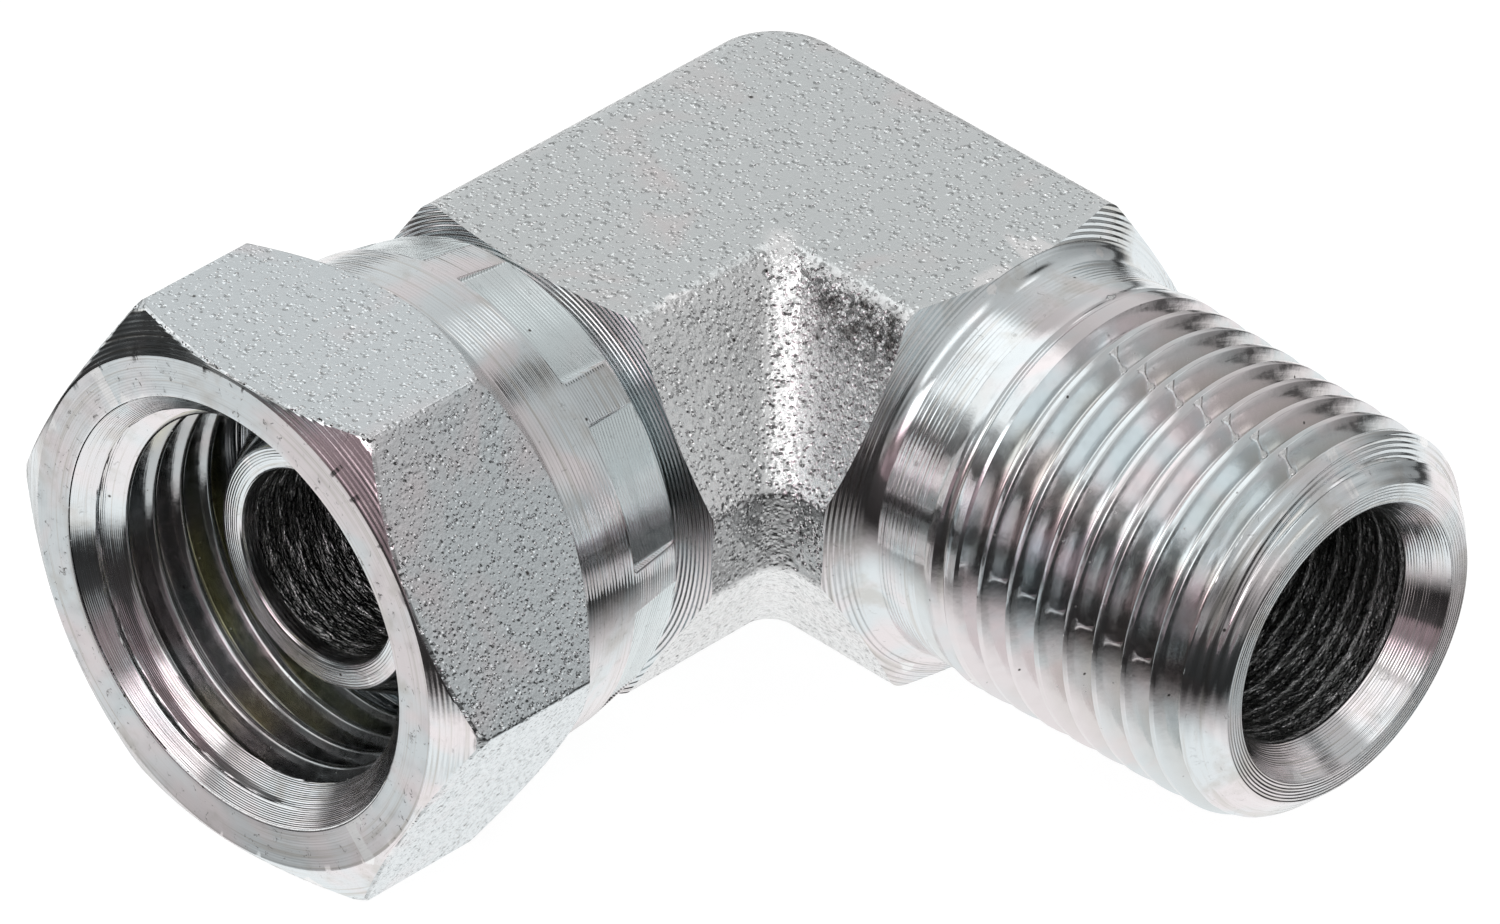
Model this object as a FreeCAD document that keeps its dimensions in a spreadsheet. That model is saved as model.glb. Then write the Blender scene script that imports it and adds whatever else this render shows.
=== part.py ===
import FreeCAD, Part
import math
import os
import Sketcher
from FreeCAD import Placement, Rotation, Vector

doc = FreeCAD.newDocument("coupling_adapter")

# Sizes in millimetres and degrees
# Frame: male leg along +X, nut leg along -Y, +Z up, origin where the two leg axes cross.
# A reach is a distance from that crossing, measured out along a leg.
SIZES = [
    # Forged block: flat top and bottom, sloping side walls, upright band at mid height
    ("block_half_height", "11.0"),
    ("top_half_width", "7.0"),
    ("band_half_width", "12.6"),
    ("band_half_height", "2.2"),
    ("band_outer_corner", "9.0"),
    ("inner_corner", "1.5"),
    ("forged_edge", "1.2"),
    # Turned shoulder and neck on the male side
    ("male_shoulder_reach", "16.4"),
    ("male_shoulder_slope", "25.0"),
    ("male_neck_radius", "10.45"),
    ("male_neck_flare", "0.6"),
    ("male_neck_length", "3.2"),
    # Male taper thread of half inch size, 1 in 16 on the diameter, modelled at crest size
    ("male_thread_length", "18.4"),
    ("gauge_radius", "10.4775"),
    ("gauge_length", "10.0"),
    ("half_taper", "0.03125"),
    ("end_chamfer", "1.765"),
    # Seat and bore of the male end
    ("seat_half_angle", "30.0"),
    ("seat_width", "1.15"),
    ("male_bore_radius", "6.2"),
    ("male_bore_overrun", "5.6"),
    ("drill_half_angle", "59.0"),
    # Turned shoulder, neck and head of the spigot on the nut side
    ("nut_shoulder_reach", "17.5"),
    ("nut_shoulder_slope", "17.0"),
    ("spigot_neck_radius", "9.0"),
    ("head_step", "1.3"),
    ("head_length", "3.2"),
    ("head_edge", "0.4"),
    ("nose_length", "5.5"),
    ("nose_step", "1.4"),
    ("nose_cone_width", "2.6"),
    ("nose_bore_edge", "0.3"),
    ("nut_bore_radius", "5.05"),
    # Fit of the nut on the spigot
    ("collar_gap", "1.2"),
    ("head_clearance", "0.05"),
    ("lip_gap", "0.08"),
    ("lip_clearance", "0.4"),
    # Swivel nut, outside
    ("nut_face_width", "2.25"),
    ("hex_length", "10.7"),
    ("hex_front_bevel", "2.28846"),
    ("hex_front_slope", "30.0"),
    ("hex_back_bevel", "2.38846"),
    ("collar_front_step", "0.5"),
    ("collar_front_taper", "0.25"),
    ("collar_back_taper", "0.55"),
    ("collar_back_edge", "0.45"),
    # Swivel nut, inside
    ("minor_radius", "9.316"),
    ("nut_thread_length", "9.0"),
    ("mouth_chamfer", "1.934"),
    ("relief_gap", "0.3"),
    ("relief_length", "1.7"),
    ("relief_step", "0.4"),
    ("lip_width", "2.67"),
    ("lip_edge", "0.4"),
    # Pads pressed into the collar by the crimping jaws
    ("pad_count", "8"),
    ("pad_span", "34.0"),
    ("pad_middle", "26.0"),
    ("pad_length", "3.6"),
    ("pad_front_depth", "0.28"),
    ("pad_back_depth", "0.08"),
]

# Sizes that follow from the ones above
DERIVED = [
    # Block and its two turned shoulders
    ("top_outer_corner", "band_outer_corner - (band_half_width - top_half_width)"),
    ("top_corner_radius", "hypot(top_half_width; block_half_height)"),
    ("band_corner_radius", "hypot(band_half_width; band_half_height)"),
    ("shoulder_cut_radius", "1.1 * max(top_corner_radius; band_corner_radius)"),
    ("shoulder_rise", "shoulder_cut_radius - block_half_height"),
    ("male_neck_step", "block_half_height - male_neck_radius"),
    ("nut_neck_step", "block_half_height - spigot_neck_radius"),
    ("male_cut_top_reach", "male_shoulder_reach - shoulder_rise * tan(male_shoulder_slope * 1deg)"),
    ("male_neck_reach", "male_shoulder_reach + male_neck_step * tan(male_shoulder_slope * 1deg)"),
    ("nut_cut_top_reach", "nut_shoulder_reach - shoulder_rise * tan(nut_shoulder_slope * 1deg)"),
    ("nut_neck_reach", "nut_shoulder_reach + nut_neck_step * tan(nut_shoulder_slope * 1deg)"),
    ("flare_top_reach", "male_neck_reach - male_neck_flare * tan(male_shoulder_slope * 1deg)"),
    ("flare_top_radius", "male_neck_radius + male_neck_flare"),
    ("flare_end_reach", "male_neck_reach + male_neck_flare"),
    ("block_male_reach", "flare_end_reach + male_neck_flare"),
    ("block_nut_reach", "nut_neck_reach + nut_neck_step / 2"),
    ("leg_root_reach", "block_half_height"),
    # Male leg
    ("blank_start_reach", "male_shoulder_reach + male_neck_length"),
    ("male_reach", "blank_start_reach + male_thread_length"),
    ("blank_end_radius", "gauge_radius - gauge_length * half_taper"),
    ("blank_start_radius", "blank_end_radius + male_thread_length * half_taper"),
    ("blank_rise_reach", "blank_start_reach - (blank_start_radius - male_neck_radius)"),
    ("end_edge_reach", "male_reach - end_chamfer"),
    ("end_edge_radius", "blank_end_radius + end_chamfer * half_taper"),
    ("end_face_radius", "blank_end_radius - end_chamfer"),
    ("seat_mouth_radius", "male_bore_radius + seat_width"),
    ("seat_bottom_reach", "male_reach - seat_width / tan(seat_half_angle * 1deg)"),
    ("male_tip_reach", "male_bore_overrun + male_bore_radius / tan(drill_half_angle * 1deg)"),
    ("nut_tip_reach", "nut_bore_radius / tan(drill_half_angle * 1deg)"),
    # Stations out along the nut leg, from the block's shoulder to the nut's mouth
    ("head_radius", "spigot_neck_radius + head_step"),
    ("bearing_radius", "head_radius + head_clearance"),
    ("lip_radius", "spigot_neck_radius + lip_clearance"),
    ("collar_back_reach", "nut_shoulder_reach + collar_gap"),
    ("lip_edge_reach", "collar_back_reach + lip_edge"),
    ("lip_front_reach", "collar_back_reach + lip_width"),
    ("bearing_back_reach", "lip_front_reach + bearing_radius - lip_radius"),
    ("head_back_reach", "bearing_back_reach + lip_gap"),
    ("head_foot_reach", "head_back_reach - head_step"),
    ("head_front_reach", "head_back_reach + head_length"),
    ("relief_back_reach", "head_front_reach + relief_gap"),
    ("thread_back_reach", "relief_back_reach + relief_length"),
    ("nut_reach", "thread_back_reach + nut_thread_length"),
    ("thread_mouth_reach", "nut_reach - mouth_chamfer"),
    # Spigot's head and nose
    ("head_edge_reach", "head_front_reach - head_edge"),
    ("head_edge_radius", "head_radius - head_edge"),
    ("nose_reach", "head_front_reach + nose_length"),
    ("nose_base_radius", "head_radius - nose_step"),
    ("nose_tip_radius", "nose_base_radius - nose_cone_width"),
    ("nose_base_reach", "nose_reach - nose_cone_width / tan(seat_half_angle * 1deg)"),
    ("nose_mouth_radius", "nut_bore_radius + nose_bore_edge"),
    ("nose_mouth_reach", "nose_reach - nose_bore_edge"),
    # Nut, outside: 27 mm across flats
    ("mouth_radius", "minor_radius + mouth_chamfer"),
    ("hex_half_flats", "mouth_radius + nut_face_width"),
    ("hex_side", "2 * hex_half_flats / sqrt(3)"),
    ("hex_half_side", "hex_side / 2"),
    ("hex_back_reach", "nut_reach - hex_length"),
    ("hex_cut_radius", "1.1 * hex_side"),
    ("hex_front_radius", "hex_side - hex_front_bevel"),
    ("hex_back_radius", "hex_side - hex_back_bevel"),
    ("front_cut_step", "hex_cut_radius - hex_front_radius"),
    ("front_cut_reach", "nut_reach - front_cut_step * tan(hex_front_slope * 1deg)"),
    ("back_cut_reach", "hex_back_reach + hex_cut_radius - hex_back_radius"),
    ("collar_root_reach", "nut_reach - hex_length / 2"),
    ("collar_front_radius", "hex_half_flats - collar_front_step"),
    ("collar_step_radius", "collar_front_radius - collar_front_taper"),
    ("collar_step_reach", "collar_back_reach + pad_length"),
    ("collar_back_radius", "collar_step_radius - collar_back_taper"),
    ("collar_edge_reach", "collar_back_reach + collar_back_edge"),
    ("collar_edge_radius", "collar_back_radius - collar_back_edge"),
    # Nut, inside
    ("relief_radius", "bearing_radius + relief_step"),
    ("lip_edge_radius", "lip_radius + lip_edge"),
    # Pads
    ("pad_front_radius", "collar_step_radius - pad_front_depth"),
    ("pad_back_radius", "collar_back_radius - pad_back_depth"),
    ("pad_cut_radius", "1.1 * collar_step_radius"),
    ("pad_end_reach", "collar_back_reach - collar_back_edge"),
]

sheet = doc.addObject("Spreadsheet::Sheet", "sizes")
for row, (alias, value) in enumerate(SIZES, start=1):
    sheet.set("A%d" % row, alias)
    sheet.set("B%d" % row, value)
    sheet.setAlias("B%d" % row, alias)
doc.recompute()
for row, (alias, formula) in enumerate(DERIVED, start=len(SIZES) + 1):
    sheet.set("A%d" % row, alias)
    sheet.set("B%d" % row, "=" + formula)
    sheet.setAlias("B%d" % row, alias)
    doc.recompute()


def size(alias):
    return float(sheet.get(alias))


def origin_feature(body, role):
    return [item for item in body.Origin.OriginFeatures if item.Role == role][0]


def new_body(label):
    body = doc.addObject("PartDesign::Body", label)
    body.Label = label
    body.Placement = Placement(Vector(0, 0, 0), Rotation())
    return body


def new_sketch(body, name, role):
    sketch = body.newObject("Sketcher::SketchObject", name)
    sketch.AttachmentSupport = [(origin_feature(body, role), "")]
    sketch.MapMode = "FlatFace"
    return sketch


def coordinate(text):
    """A coordinate is written as 0, a size's name, or a size's name after a minus sign."""
    if text == "0":
        return 0.0
    if text.startswith("-"):
        return -size(text[1:])
    return size(text)


def bind_coordinate(sketch, axis, edge, end, text):
    """Binds one coordinate of a point. A sketch numbers its own X axis -1 and its Y axis -2."""
    if text == "0":
        sketch.addConstraint(Sketcher.Constraint("PointOnObject", edge, end, -2 if axis == "X" else -1))
        return
    value = abs(coordinate(text))
    if text.startswith("-"):
        link = Sketcher.Constraint("Distance" + axis, edge, end, -1, 1, value)
    else:
        link = Sketcher.Constraint("Distance" + axis, -1, 1, edge, end, value)
    index = sketch.addConstraint(link)
    sketch.setExpression("Constraints[%d]" % index, "sizes." + text.lstrip("-"))


def bind_radius(sketch, arc, alias):
    index = sketch.addConstraint(Sketcher.Constraint("Radius", arc, size(alias)))
    sketch.setExpression("Constraints[%d]" % index, "sizes." + alias)


def draw_outline(sketch, corners):
    """A closed outline through named corners, each bound to the sheet."""
    points = [Vector(coordinate(reach), coordinate(radius), 0) for reach, radius in corners]
    count = len(points)
    for i in range(count):
        sketch.addGeometry(Part.LineSegment(points[i], points[(i + 1) % count]), False)
    for i, (reach, radius) in enumerate(corners):
        sketch.addConstraint(Sketcher.Constraint("Coincident", (i - 1) % count, 2, i, 1))
        bind_coordinate(sketch, "X", i, 1, reach)
        bind_coordinate(sketch, "Y", i, 1, radius)


def draw_elbow_plan(sketch, half_width, outer_corner):
    """Plan of the block: two arms of one width, one rounded outer corner, one rounded inner corner."""
    w = size(half_width)
    outer = size(outer_corner)
    inner = size("inner_corner")
    male = size("block_male_reach")
    nut = size("block_nut_reach")
    lines = [
        (Vector(male, -w, 0), Vector(w + inner, -w, 0)),
        (Vector(w, -w - inner, 0), Vector(w, -nut, 0)),
        (Vector(w, -nut, 0), Vector(-w, -nut, 0)),
        (Vector(-w, -nut, 0), Vector(-w, w - outer, 0)),
        (Vector(-w + outer, w, 0), Vector(male, w, 0)),
        (Vector(male, w, 0), Vector(male, -w, 0)),
    ]
    for start, end in lines:
        sketch.addGeometry(Part.LineSegment(start, end), False)
    inner_circle = Part.Circle(Vector(w + inner, -w - inner, 0), Vector(0, 0, 1), inner)
    sketch.addGeometry(Part.ArcOfCircle(inner_circle, math.pi / 2, math.pi), False)
    outer_circle = Part.Circle(Vector(-w + outer, w - outer, 0), Vector(0, 0, 1), outer)
    sketch.addGeometry(Part.ArcOfCircle(outer_circle, math.pi / 2, math.pi), False)
    inner_arc = 6
    outer_arc = 7
    for first, second in [(1, 2), (2, 3), (4, 5), (5, 0)]:
        sketch.addConstraint(Sketcher.Constraint("Coincident", first, 2, second, 1))
    for arc, arc_end, line, line_end in [
        (inner_arc, 1, 0, 2),
        (inner_arc, 2, 1, 1),
        (outer_arc, 2, 3, 2),
        (outer_arc, 1, 4, 1),
    ]:
        sketch.addConstraint(Sketcher.Constraint("Tangent", arc, arc_end, line, line_end))
    for line in (0, 2, 4):
        sketch.addConstraint(Sketcher.Constraint("Horizontal", line))
    for line in (1, 3, 5):
        sketch.addConstraint(Sketcher.Constraint("Vertical", line))
    bind_coordinate(sketch, "Y", 0, 1, "-" + half_width)
    bind_coordinate(sketch, "X", 1, 2, half_width)
    bind_coordinate(sketch, "Y", 2, 1, "-block_nut_reach")
    bind_coordinate(sketch, "X", 3, 1, "-" + half_width)
    bind_coordinate(sketch, "Y", 4, 2, half_width)
    bind_coordinate(sketch, "X", 5, 1, "block_male_reach")
    bind_radius(sketch, inner_arc, "inner_corner")
    bind_radius(sketch, outer_arc, outer_corner)


def turned(body, kind, name, axis, corners):
    """A turned form, added or cut, from a half outline given as reach along the axis and radius."""
    role = "XZ_Plane" if axis == "X_Axis" else "YZ_Plane"
    sketch = new_sketch(body, name + "_outline", role)
    draw_outline(sketch, corners)
    feature = body.newObject("PartDesign::" + kind, name)
    feature.Profile = sketch
    feature.ReferenceAxis = (origin_feature(body, axis), [""])
    feature.Angle = 360
    return feature


def volume_of(feature):
    doc.recompute()
    return feature.Shape.Volume


# Forged and turned elbow body
elbow = new_body("elbow_body")

band_plan = new_sketch(elbow, "band_plan", "XY_Plane")
draw_elbow_plan(band_plan, "band_half_width", "band_outer_corner")
band_pad = elbow.newObject("PartDesign::Pad", "band")
band_pad.Profile = band_plan
band_pad.SideType = "Symmetric"
band_pad.setExpression("Length", "2 * sizes.band_half_height")

foot_plan = new_sketch(elbow, "wall_foot_plan", "XY_Plane")
draw_elbow_plan(foot_plan, "band_half_width", "band_outer_corner")
foot_plan.setExpression(".AttachmentOffset.Base.z", "sizes.band_half_height")
top_plan = new_sketch(elbow, "wall_top_plan", "XY_Plane")
draw_elbow_plan(top_plan, "top_half_width", "top_outer_corner")
top_plan.setExpression(".AttachmentOffset.Base.z", "sizes.block_half_height")
wall = elbow.newObject("PartDesign::AdditiveLoft", "sloping_walls")
wall.Profile = foot_plan
wall.Sections = [(top_plan, [""])]
wall.Ruled = True
doc.recompute()

lower_wall = elbow.newObject("PartDesign::Mirrored", "lower_walls")
lower_wall.Originals = [wall]
lower_wall.MirrorPlane = (origin_feature(elbow, "XY_Plane"), [""])
elbow.Tip = lower_wall
doc.recompute()

# Soft forged edges round the flat top and bottom, not across the two leg ends
EDGE_MATCH = 0.01
forged_edges = []
for index, edge in enumerate(lower_wall.Shape.Edges, start=1):
    box = edge.BoundBox
    level = abs(abs(box.Center.z) - size("block_half_height")) < EDGE_MATCH
    flat = box.ZLength < EDGE_MATCH
    on_male_end = box.XMin > size("block_male_reach") - EDGE_MATCH
    on_nut_end = box.YMax < -size("block_nut_reach") + EDGE_MATCH
    if level and flat and not on_male_end and not on_nut_end:
        forged_edges.append("Edge%d" % index)
forged_round = elbow.newObject("PartDesign::Fillet", "forged_rounds")
forged_round.Base = (lower_wall, forged_edges)
forged_round.setExpression("Radius", "sizes.forged_edge")
block_volume = volume_of(forged_round)

# Turned shoulders: the lathe cuts the square ends of the block back to shallow cones
male_shoulder = turned(elbow, "Groove", "male_shoulder", "X_Axis", [
    ("male_cut_top_reach", "shoulder_cut_radius"),
    ("flare_top_reach", "flare_top_radius"),
    ("flare_end_reach", "male_neck_radius"),
    ("end_edge_reach", "male_neck_radius"),
    ("end_edge_reach", "shoulder_cut_radius"),
])
male_shoulder_volume = volume_of(male_shoulder)
nut_shoulder = turned(elbow, "Groove", "nut_shoulder", "Y_Axis", [
    ("-nut_cut_top_reach", "shoulder_cut_radius"),
    ("-nut_neck_reach", "spigot_neck_radius"),
    ("-nose_reach", "spigot_neck_radius"),
    ("-nose_reach", "shoulder_cut_radius"),
])
nut_shoulder_volume = volume_of(nut_shoulder)

# Male leg: neck, taper thread blank and chamfered end
male_leg = turned(elbow, "Revolution", "male_leg", "X_Axis", [
    ("leg_root_reach", "0"),
    ("leg_root_reach", "male_neck_radius"),
    ("blank_rise_reach", "male_neck_radius"),
    ("blank_start_reach", "blank_start_radius"),
    ("end_edge_reach", "end_edge_radius"),
    ("male_reach", "end_face_radius"),
    ("male_reach", "0"),
])
male_leg_volume = volume_of(male_leg)

# Spigot: neck that the nut's lip runs in, head that the nut pulls on, nose with the cone seat
spigot = turned(elbow, "Revolution", "spigot", "Y_Axis", [
    ("-leg_root_reach", "0"),
    ("-leg_root_reach", "spigot_neck_radius"),
    ("-head_foot_reach", "spigot_neck_radius"),
    ("-head_back_reach", "head_radius"),
    ("-head_edge_reach", "head_radius"),
    ("-head_front_reach", "head_edge_radius"),
    ("-head_front_reach", "nose_base_radius"),
    ("-nose_base_reach", "nose_base_radius"),
    ("-nose_reach", "nose_tip_radius"),
    ("-nose_reach", "0"),
])
spigot_volume = volume_of(spigot)

# Two drilled bores that meet in the block, the male one with its sixty degree seat
male_bore = turned(elbow, "Groove", "male_bore", "X_Axis", [
    ("-male_tip_reach", "0"),
    ("-male_bore_overrun", "male_bore_radius"),
    ("seat_bottom_reach", "male_bore_radius"),
    ("male_reach", "seat_mouth_radius"),
    ("male_reach", "0"),
])
male_bore_volume = volume_of(male_bore)
nut_bore = turned(elbow, "Groove", "nut_bore", "Y_Axis", [
    ("nut_tip_reach", "0"),
    ("0", "nut_bore_radius"),
    ("-nose_mouth_reach", "nut_bore_radius"),
    ("-nose_reach", "nose_mouth_radius"),
    ("-nose_reach", "0"),
])
nut_bore_volume = volume_of(nut_bore)
elbow.Tip = nut_bore

# Swivel nut, crimped on behind the spigot's head
nut = new_body("swivel_nut")

hex_sketch = new_sketch(nut, "hex_outline", "XZ_Plane")
draw_outline(hex_sketch, [
    ("hex_side", "0"),
    ("hex_half_side", "hex_half_flats"),
    ("-hex_half_side", "hex_half_flats"),
    ("-hex_side", "0"),
    ("-hex_half_side", "-hex_half_flats"),
    ("hex_half_side", "-hex_half_flats"),
])
hex_sketch.setExpression(".AttachmentOffset.Base.z", "sizes.hex_back_reach")
hex_pad = nut.newObject("PartDesign::Pad", "hexagon")
hex_pad.Profile = hex_sketch
hex_pad.setExpression("Length", "sizes.nut_reach - sizes.hex_back_reach")
hex_volume = volume_of(hex_pad)

hex_front = turned(nut, "Groove", "hex_front_chamfer", "Y_Axis", [
    ("-nut_reach", "hex_front_radius"),
    ("-nut_reach", "hex_cut_radius"),
    ("-front_cut_reach", "hex_cut_radius"),
])
hex_front_volume = volume_of(hex_front)
hex_back = turned(nut, "Groove", "hex_back_chamfer", "Y_Axis", [
    ("-hex_back_reach", "hex_back_radius"),
    ("-hex_back_reach", "hex_cut_radius"),
    ("-back_cut_reach", "hex_cut_radius"),
])
hex_back_volume = volume_of(hex_back)

collar = turned(nut, "Revolution", "collar", "Y_Axis", [
    ("-collar_root_reach", "0"),
    ("-collar_root_reach", "collar_front_radius"),
    ("-hex_back_reach", "collar_front_radius"),
    ("-collar_step_reach", "collar_step_radius"),
    ("-collar_edge_reach", "collar_back_radius"),
    ("-collar_back_reach", "collar_edge_radius"),
    ("-collar_back_reach", "0"),
])
collar_volume = volume_of(collar)

nut_inside = turned(nut, "Groove", "nut_inside", "Y_Axis", [
    ("-nut_reach", "0"),
    ("-nut_reach", "mouth_radius"),
    ("-thread_mouth_reach", "minor_radius"),
    ("-thread_back_reach", "minor_radius"),
    ("-thread_back_reach", "relief_radius"),
    ("-relief_back_reach", "relief_radius"),
    ("-relief_back_reach", "bearing_radius"),
    ("-bearing_back_reach", "bearing_radius"),
    ("-lip_front_reach", "lip_radius"),
    ("-lip_edge_reach", "lip_radius"),
    ("-collar_back_reach", "lip_edge_radius"),
    ("-collar_back_reach", "0"),
])
nut_inside_volume = volume_of(nut_inside)

# One jaw pad, then the ring of them
pad_sketch = new_sketch(nut, "pad_outline", "YZ_Plane")
draw_outline(pad_sketch, [
    ("-collar_step_reach", "pad_front_radius"),
    ("-collar_step_reach", "pad_cut_radius"),
    ("-pad_end_reach", "pad_cut_radius"),
    ("-pad_end_reach", "pad_back_radius"),
    ("-collar_edge_reach", "pad_back_radius"),
])
# The outline's own X axis is the nut's axis, and the outline is turned about it
pad_sketch.AttachmentOffset = Placement(Vector(0, 0, 0), Rotation(Vector(1, 0, 0), 0))
pad_sketch.setExpression(".AttachmentOffset.Rotation.Angle", "90 - sizes.pad_middle")
pad = nut.newObject("PartDesign::Groove", "pad")
pad.Profile = pad_sketch
pad.ReferenceAxis = (origin_feature(nut, "Y_Axis"), [""])
pad.Midplane = True
pad.setExpression("Angle", "sizes.pad_span")
pad_volume = volume_of(pad)
pad_ring = nut.newObject("PartDesign::PolarPattern", "pad_ring")
pad_ring.Originals = [pad]
pad_ring.Axis = (origin_feature(nut, "Y_Axis"), [""])
pad_ring.Angle = 360
pad_ring.setExpression("Occurrences", "sizes.pad_count")
nut.Tip = pad_ring
ring_volume = volume_of(pad_ring)

# Every cut removed metal and every addition added some
steps = [
    ("male_shoulder", block_volume - male_shoulder_volume),
    ("nut_shoulder", male_shoulder_volume - nut_shoulder_volume),
    ("male_leg", male_leg_volume - nut_shoulder_volume),
    ("spigot", spigot_volume - male_leg_volume),
    ("male_bore", spigot_volume - male_bore_volume),
    ("nut_bore", male_bore_volume - nut_bore_volume),
    ("hex_front_chamfer", hex_volume - hex_front_volume),
    ("hex_back_chamfer", hex_front_volume - hex_back_volume),
    ("collar", collar_volume - hex_back_volume),
    ("nut_inside", collar_volume - nut_inside_volume),
    ("pad", nut_inside_volume - pad_volume),
    ("pad_ring", pad_volume - ring_volume),
]
for name, change in steps:
    print("%-18s %10.2f mm3" % (name, change))
    if change <= 0:
        raise RuntimeError(name + " changed nothing")

# Checks before anything is written
for item in doc.Objects:
    if "Invalid" in item.State or "Error" in item.State:
        raise RuntimeError(item.Name + " failed: " + str(item.State))
bodies = [elbow, nut]
for body in bodies:
    if body.Shape.isNull() or not body.Shape.isValid() or len(body.Shape.Solids) != 1:
        raise RuntimeError(body.Label + " is not one valid solid")

os.makedirs("parts", exist_ok=True)
for body in bodies:
    body.Shape.exportStep("parts/" + body.Label + ".step")
    box = body.Shape.BoundBox
    limits = [box.XMin, box.XMax, box.YMin, box.YMax, box.ZMin, box.ZMax]
    print(body.Label, "%.1f mm3" % body.Shape.Volume, [round(limit, 2) for limit in limits])
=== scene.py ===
import math

import bmesh
import bpy
import numpy as np
from mathutils import Matrix, Vector


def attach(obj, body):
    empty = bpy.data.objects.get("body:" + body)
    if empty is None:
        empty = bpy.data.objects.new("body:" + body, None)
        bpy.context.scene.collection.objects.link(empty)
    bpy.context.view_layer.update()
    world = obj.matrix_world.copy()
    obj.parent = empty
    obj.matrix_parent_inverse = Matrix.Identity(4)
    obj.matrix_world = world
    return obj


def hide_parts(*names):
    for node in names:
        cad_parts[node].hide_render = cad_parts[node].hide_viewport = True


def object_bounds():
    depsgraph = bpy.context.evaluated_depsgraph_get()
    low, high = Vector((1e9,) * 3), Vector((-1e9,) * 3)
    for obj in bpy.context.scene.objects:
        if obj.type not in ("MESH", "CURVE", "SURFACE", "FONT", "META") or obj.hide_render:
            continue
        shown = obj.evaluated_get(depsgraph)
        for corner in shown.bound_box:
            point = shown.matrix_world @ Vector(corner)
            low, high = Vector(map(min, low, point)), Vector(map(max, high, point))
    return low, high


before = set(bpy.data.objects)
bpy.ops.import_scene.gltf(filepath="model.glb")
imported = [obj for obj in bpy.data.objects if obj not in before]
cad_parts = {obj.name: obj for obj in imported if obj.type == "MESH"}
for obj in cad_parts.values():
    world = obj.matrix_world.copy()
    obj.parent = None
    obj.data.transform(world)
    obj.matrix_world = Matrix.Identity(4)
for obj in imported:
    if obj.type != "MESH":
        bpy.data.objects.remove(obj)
cad_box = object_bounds()

# Sizes in millimetres, in the shared frame
# A station is a distance from the crossing of the leg axes, measured out along a leg.
MM = 0.001
TAN = {angle: math.tan(math.radians(angle)) for angle in (17, 25, 30)}

# Forged block
BLOCK_HALF_HEIGHT = 11.0
TOP_HALF_WIDTH = 7.0
FLAT_HALF_WIDTH = 4.0
BAND_HALF_WIDTH = 12.6
BAND_HALF_HEIGHT = 2.2
OUTER_ARC_CENTRE = 3.6
INNER_CORNER = 1.5
TOP_EDGE_ROUND = 1.4
BAND_EDGE_ROUND = 0.9
SHOULDER_EDGE_WEAR = 0.12
SHOULDER_EDGE_ANGLE = 32
MALE_SHOULDER = 16.4
MALE_FLARE_STATION = 16.38
MALE_FLARE_RADIUS = 11.05
NUT_SHOULDER = 17.5
SPIGOT_NECK_RADIUS = 9.0
SPIGOT_NECK_STATION = 18.11

# Thread form: 55 degree flanks, rounded crests and roots
PITCH = 1.814
THREAD_DEPTH = 1.162
THREAD_ROUND = 0.2491
HALF_FLANK = math.radians(27.5)
CREST_ROUND = 0.07
ROOT_END = THREAD_ROUND * math.cos(HALF_FLANK)
CREST_END = PITCH / 2 - ROOT_END - math.tan(HALF_FLANK) * (
    THREAD_DEPTH - THREAD_ROUND * (1 - math.sin(HALF_FLANK)) - CREST_ROUND * (1 - math.sin(HALF_FLANK))
)
CREST_FLAT = CREST_END - CREST_ROUND * math.cos(HALF_FLANK)
MAJOR_RADIUS = 10.4775

# Male leg
MALE_NECK_RADIUS = 10.45
MALE_NECK_START = 16.66
MALE_NECK_END = 19.6
MALE_NECK_FILLET = 1.2
MALE_REACH = 38.0
MALE_END_RADIUS = 10.165
HALF_TAPER = 0.03125
CHAMFER_START = 35.9
END_FACE_RADIUS = 8.4
SEAT_MOUTH_RADIUS = 7.35
SEAT_BOTTOM = 36.008
MALE_BORE_RADIUS = 6.2
MALE_BORE_END = -5.6
MALE_DRILL_TIP = -9.33
MALE_CREST_STATION = 24.88
MALE_COLUMNS = 288
# Stations between which the neck swells to the taper, and between which the thread gains its full depth
SWELL = (20.1, 21.3)
RUN_OUT = (19.8, 23.6)

# Spigot
HEAD_RADIUS = 10.3
HEAD_SLOPE_START = 21.1
HEAD_START = 22.4
HEAD_END = 25.6
NOSE_BASE_RADIUS = 8.9
NOSE_TIP_RADIUS = 6.3
NOSE_REACH = 31.1
NUT_BORE_RADIUS = 5.05
NUT_BORE_START = NOSE_REACH - 1.0
NUT_LEG_COLUMNS = 192

# Swivel nut
NUT_REACH = 36.6
HALF_FLATS = 13.5
HEX_CORNER_ROUND = 0.3
EDGE_WEAR = 0.11
HEX_FRONT_RADIUS = 13.3
HEX_BACK_RADIUS = 13.2
HEX_BACK_STATION = 25.9
COLLAR_FRONT_RADIUS = 13.0
MOUTH_RADIUS = 11.25
MOUTH_START = 34.5
NUT_THREAD_BACK = 27.6
NUT_ROOT_STATION = 32.67
RELIEF_RADIUS = 10.75
THREAD_BORE_RADIUS = 10.5
HEAD_ROOM_RADIUS = 10.35
LIP_BORE_RADIUS = 9.4

# Crimped collar and its pressed pads
LIP_STATION = 18.7
COLLAR_BACK = 19.15
COLLAR_BACK_RADIUS = 12.2
PAD_FRONT = 22.3
PAD_FRONT_RADIUS = 12.75
PAD_COUNT = 8
PAD_SPAN = 34.0
PAD_MIDDLE = 26.0
PAD_SIDE = 0.45
PAD_FRONT_DEPTH = 0.2
PAD_BACK_DEPTH = 0.06
PAD_FLAT = 0.2

# Points nearer than this are joined, and edges that turn by more than this many degrees stay sharp
WELD_DISTANCE = 0.002
SHARP_ANGLE = 30.0


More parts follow.
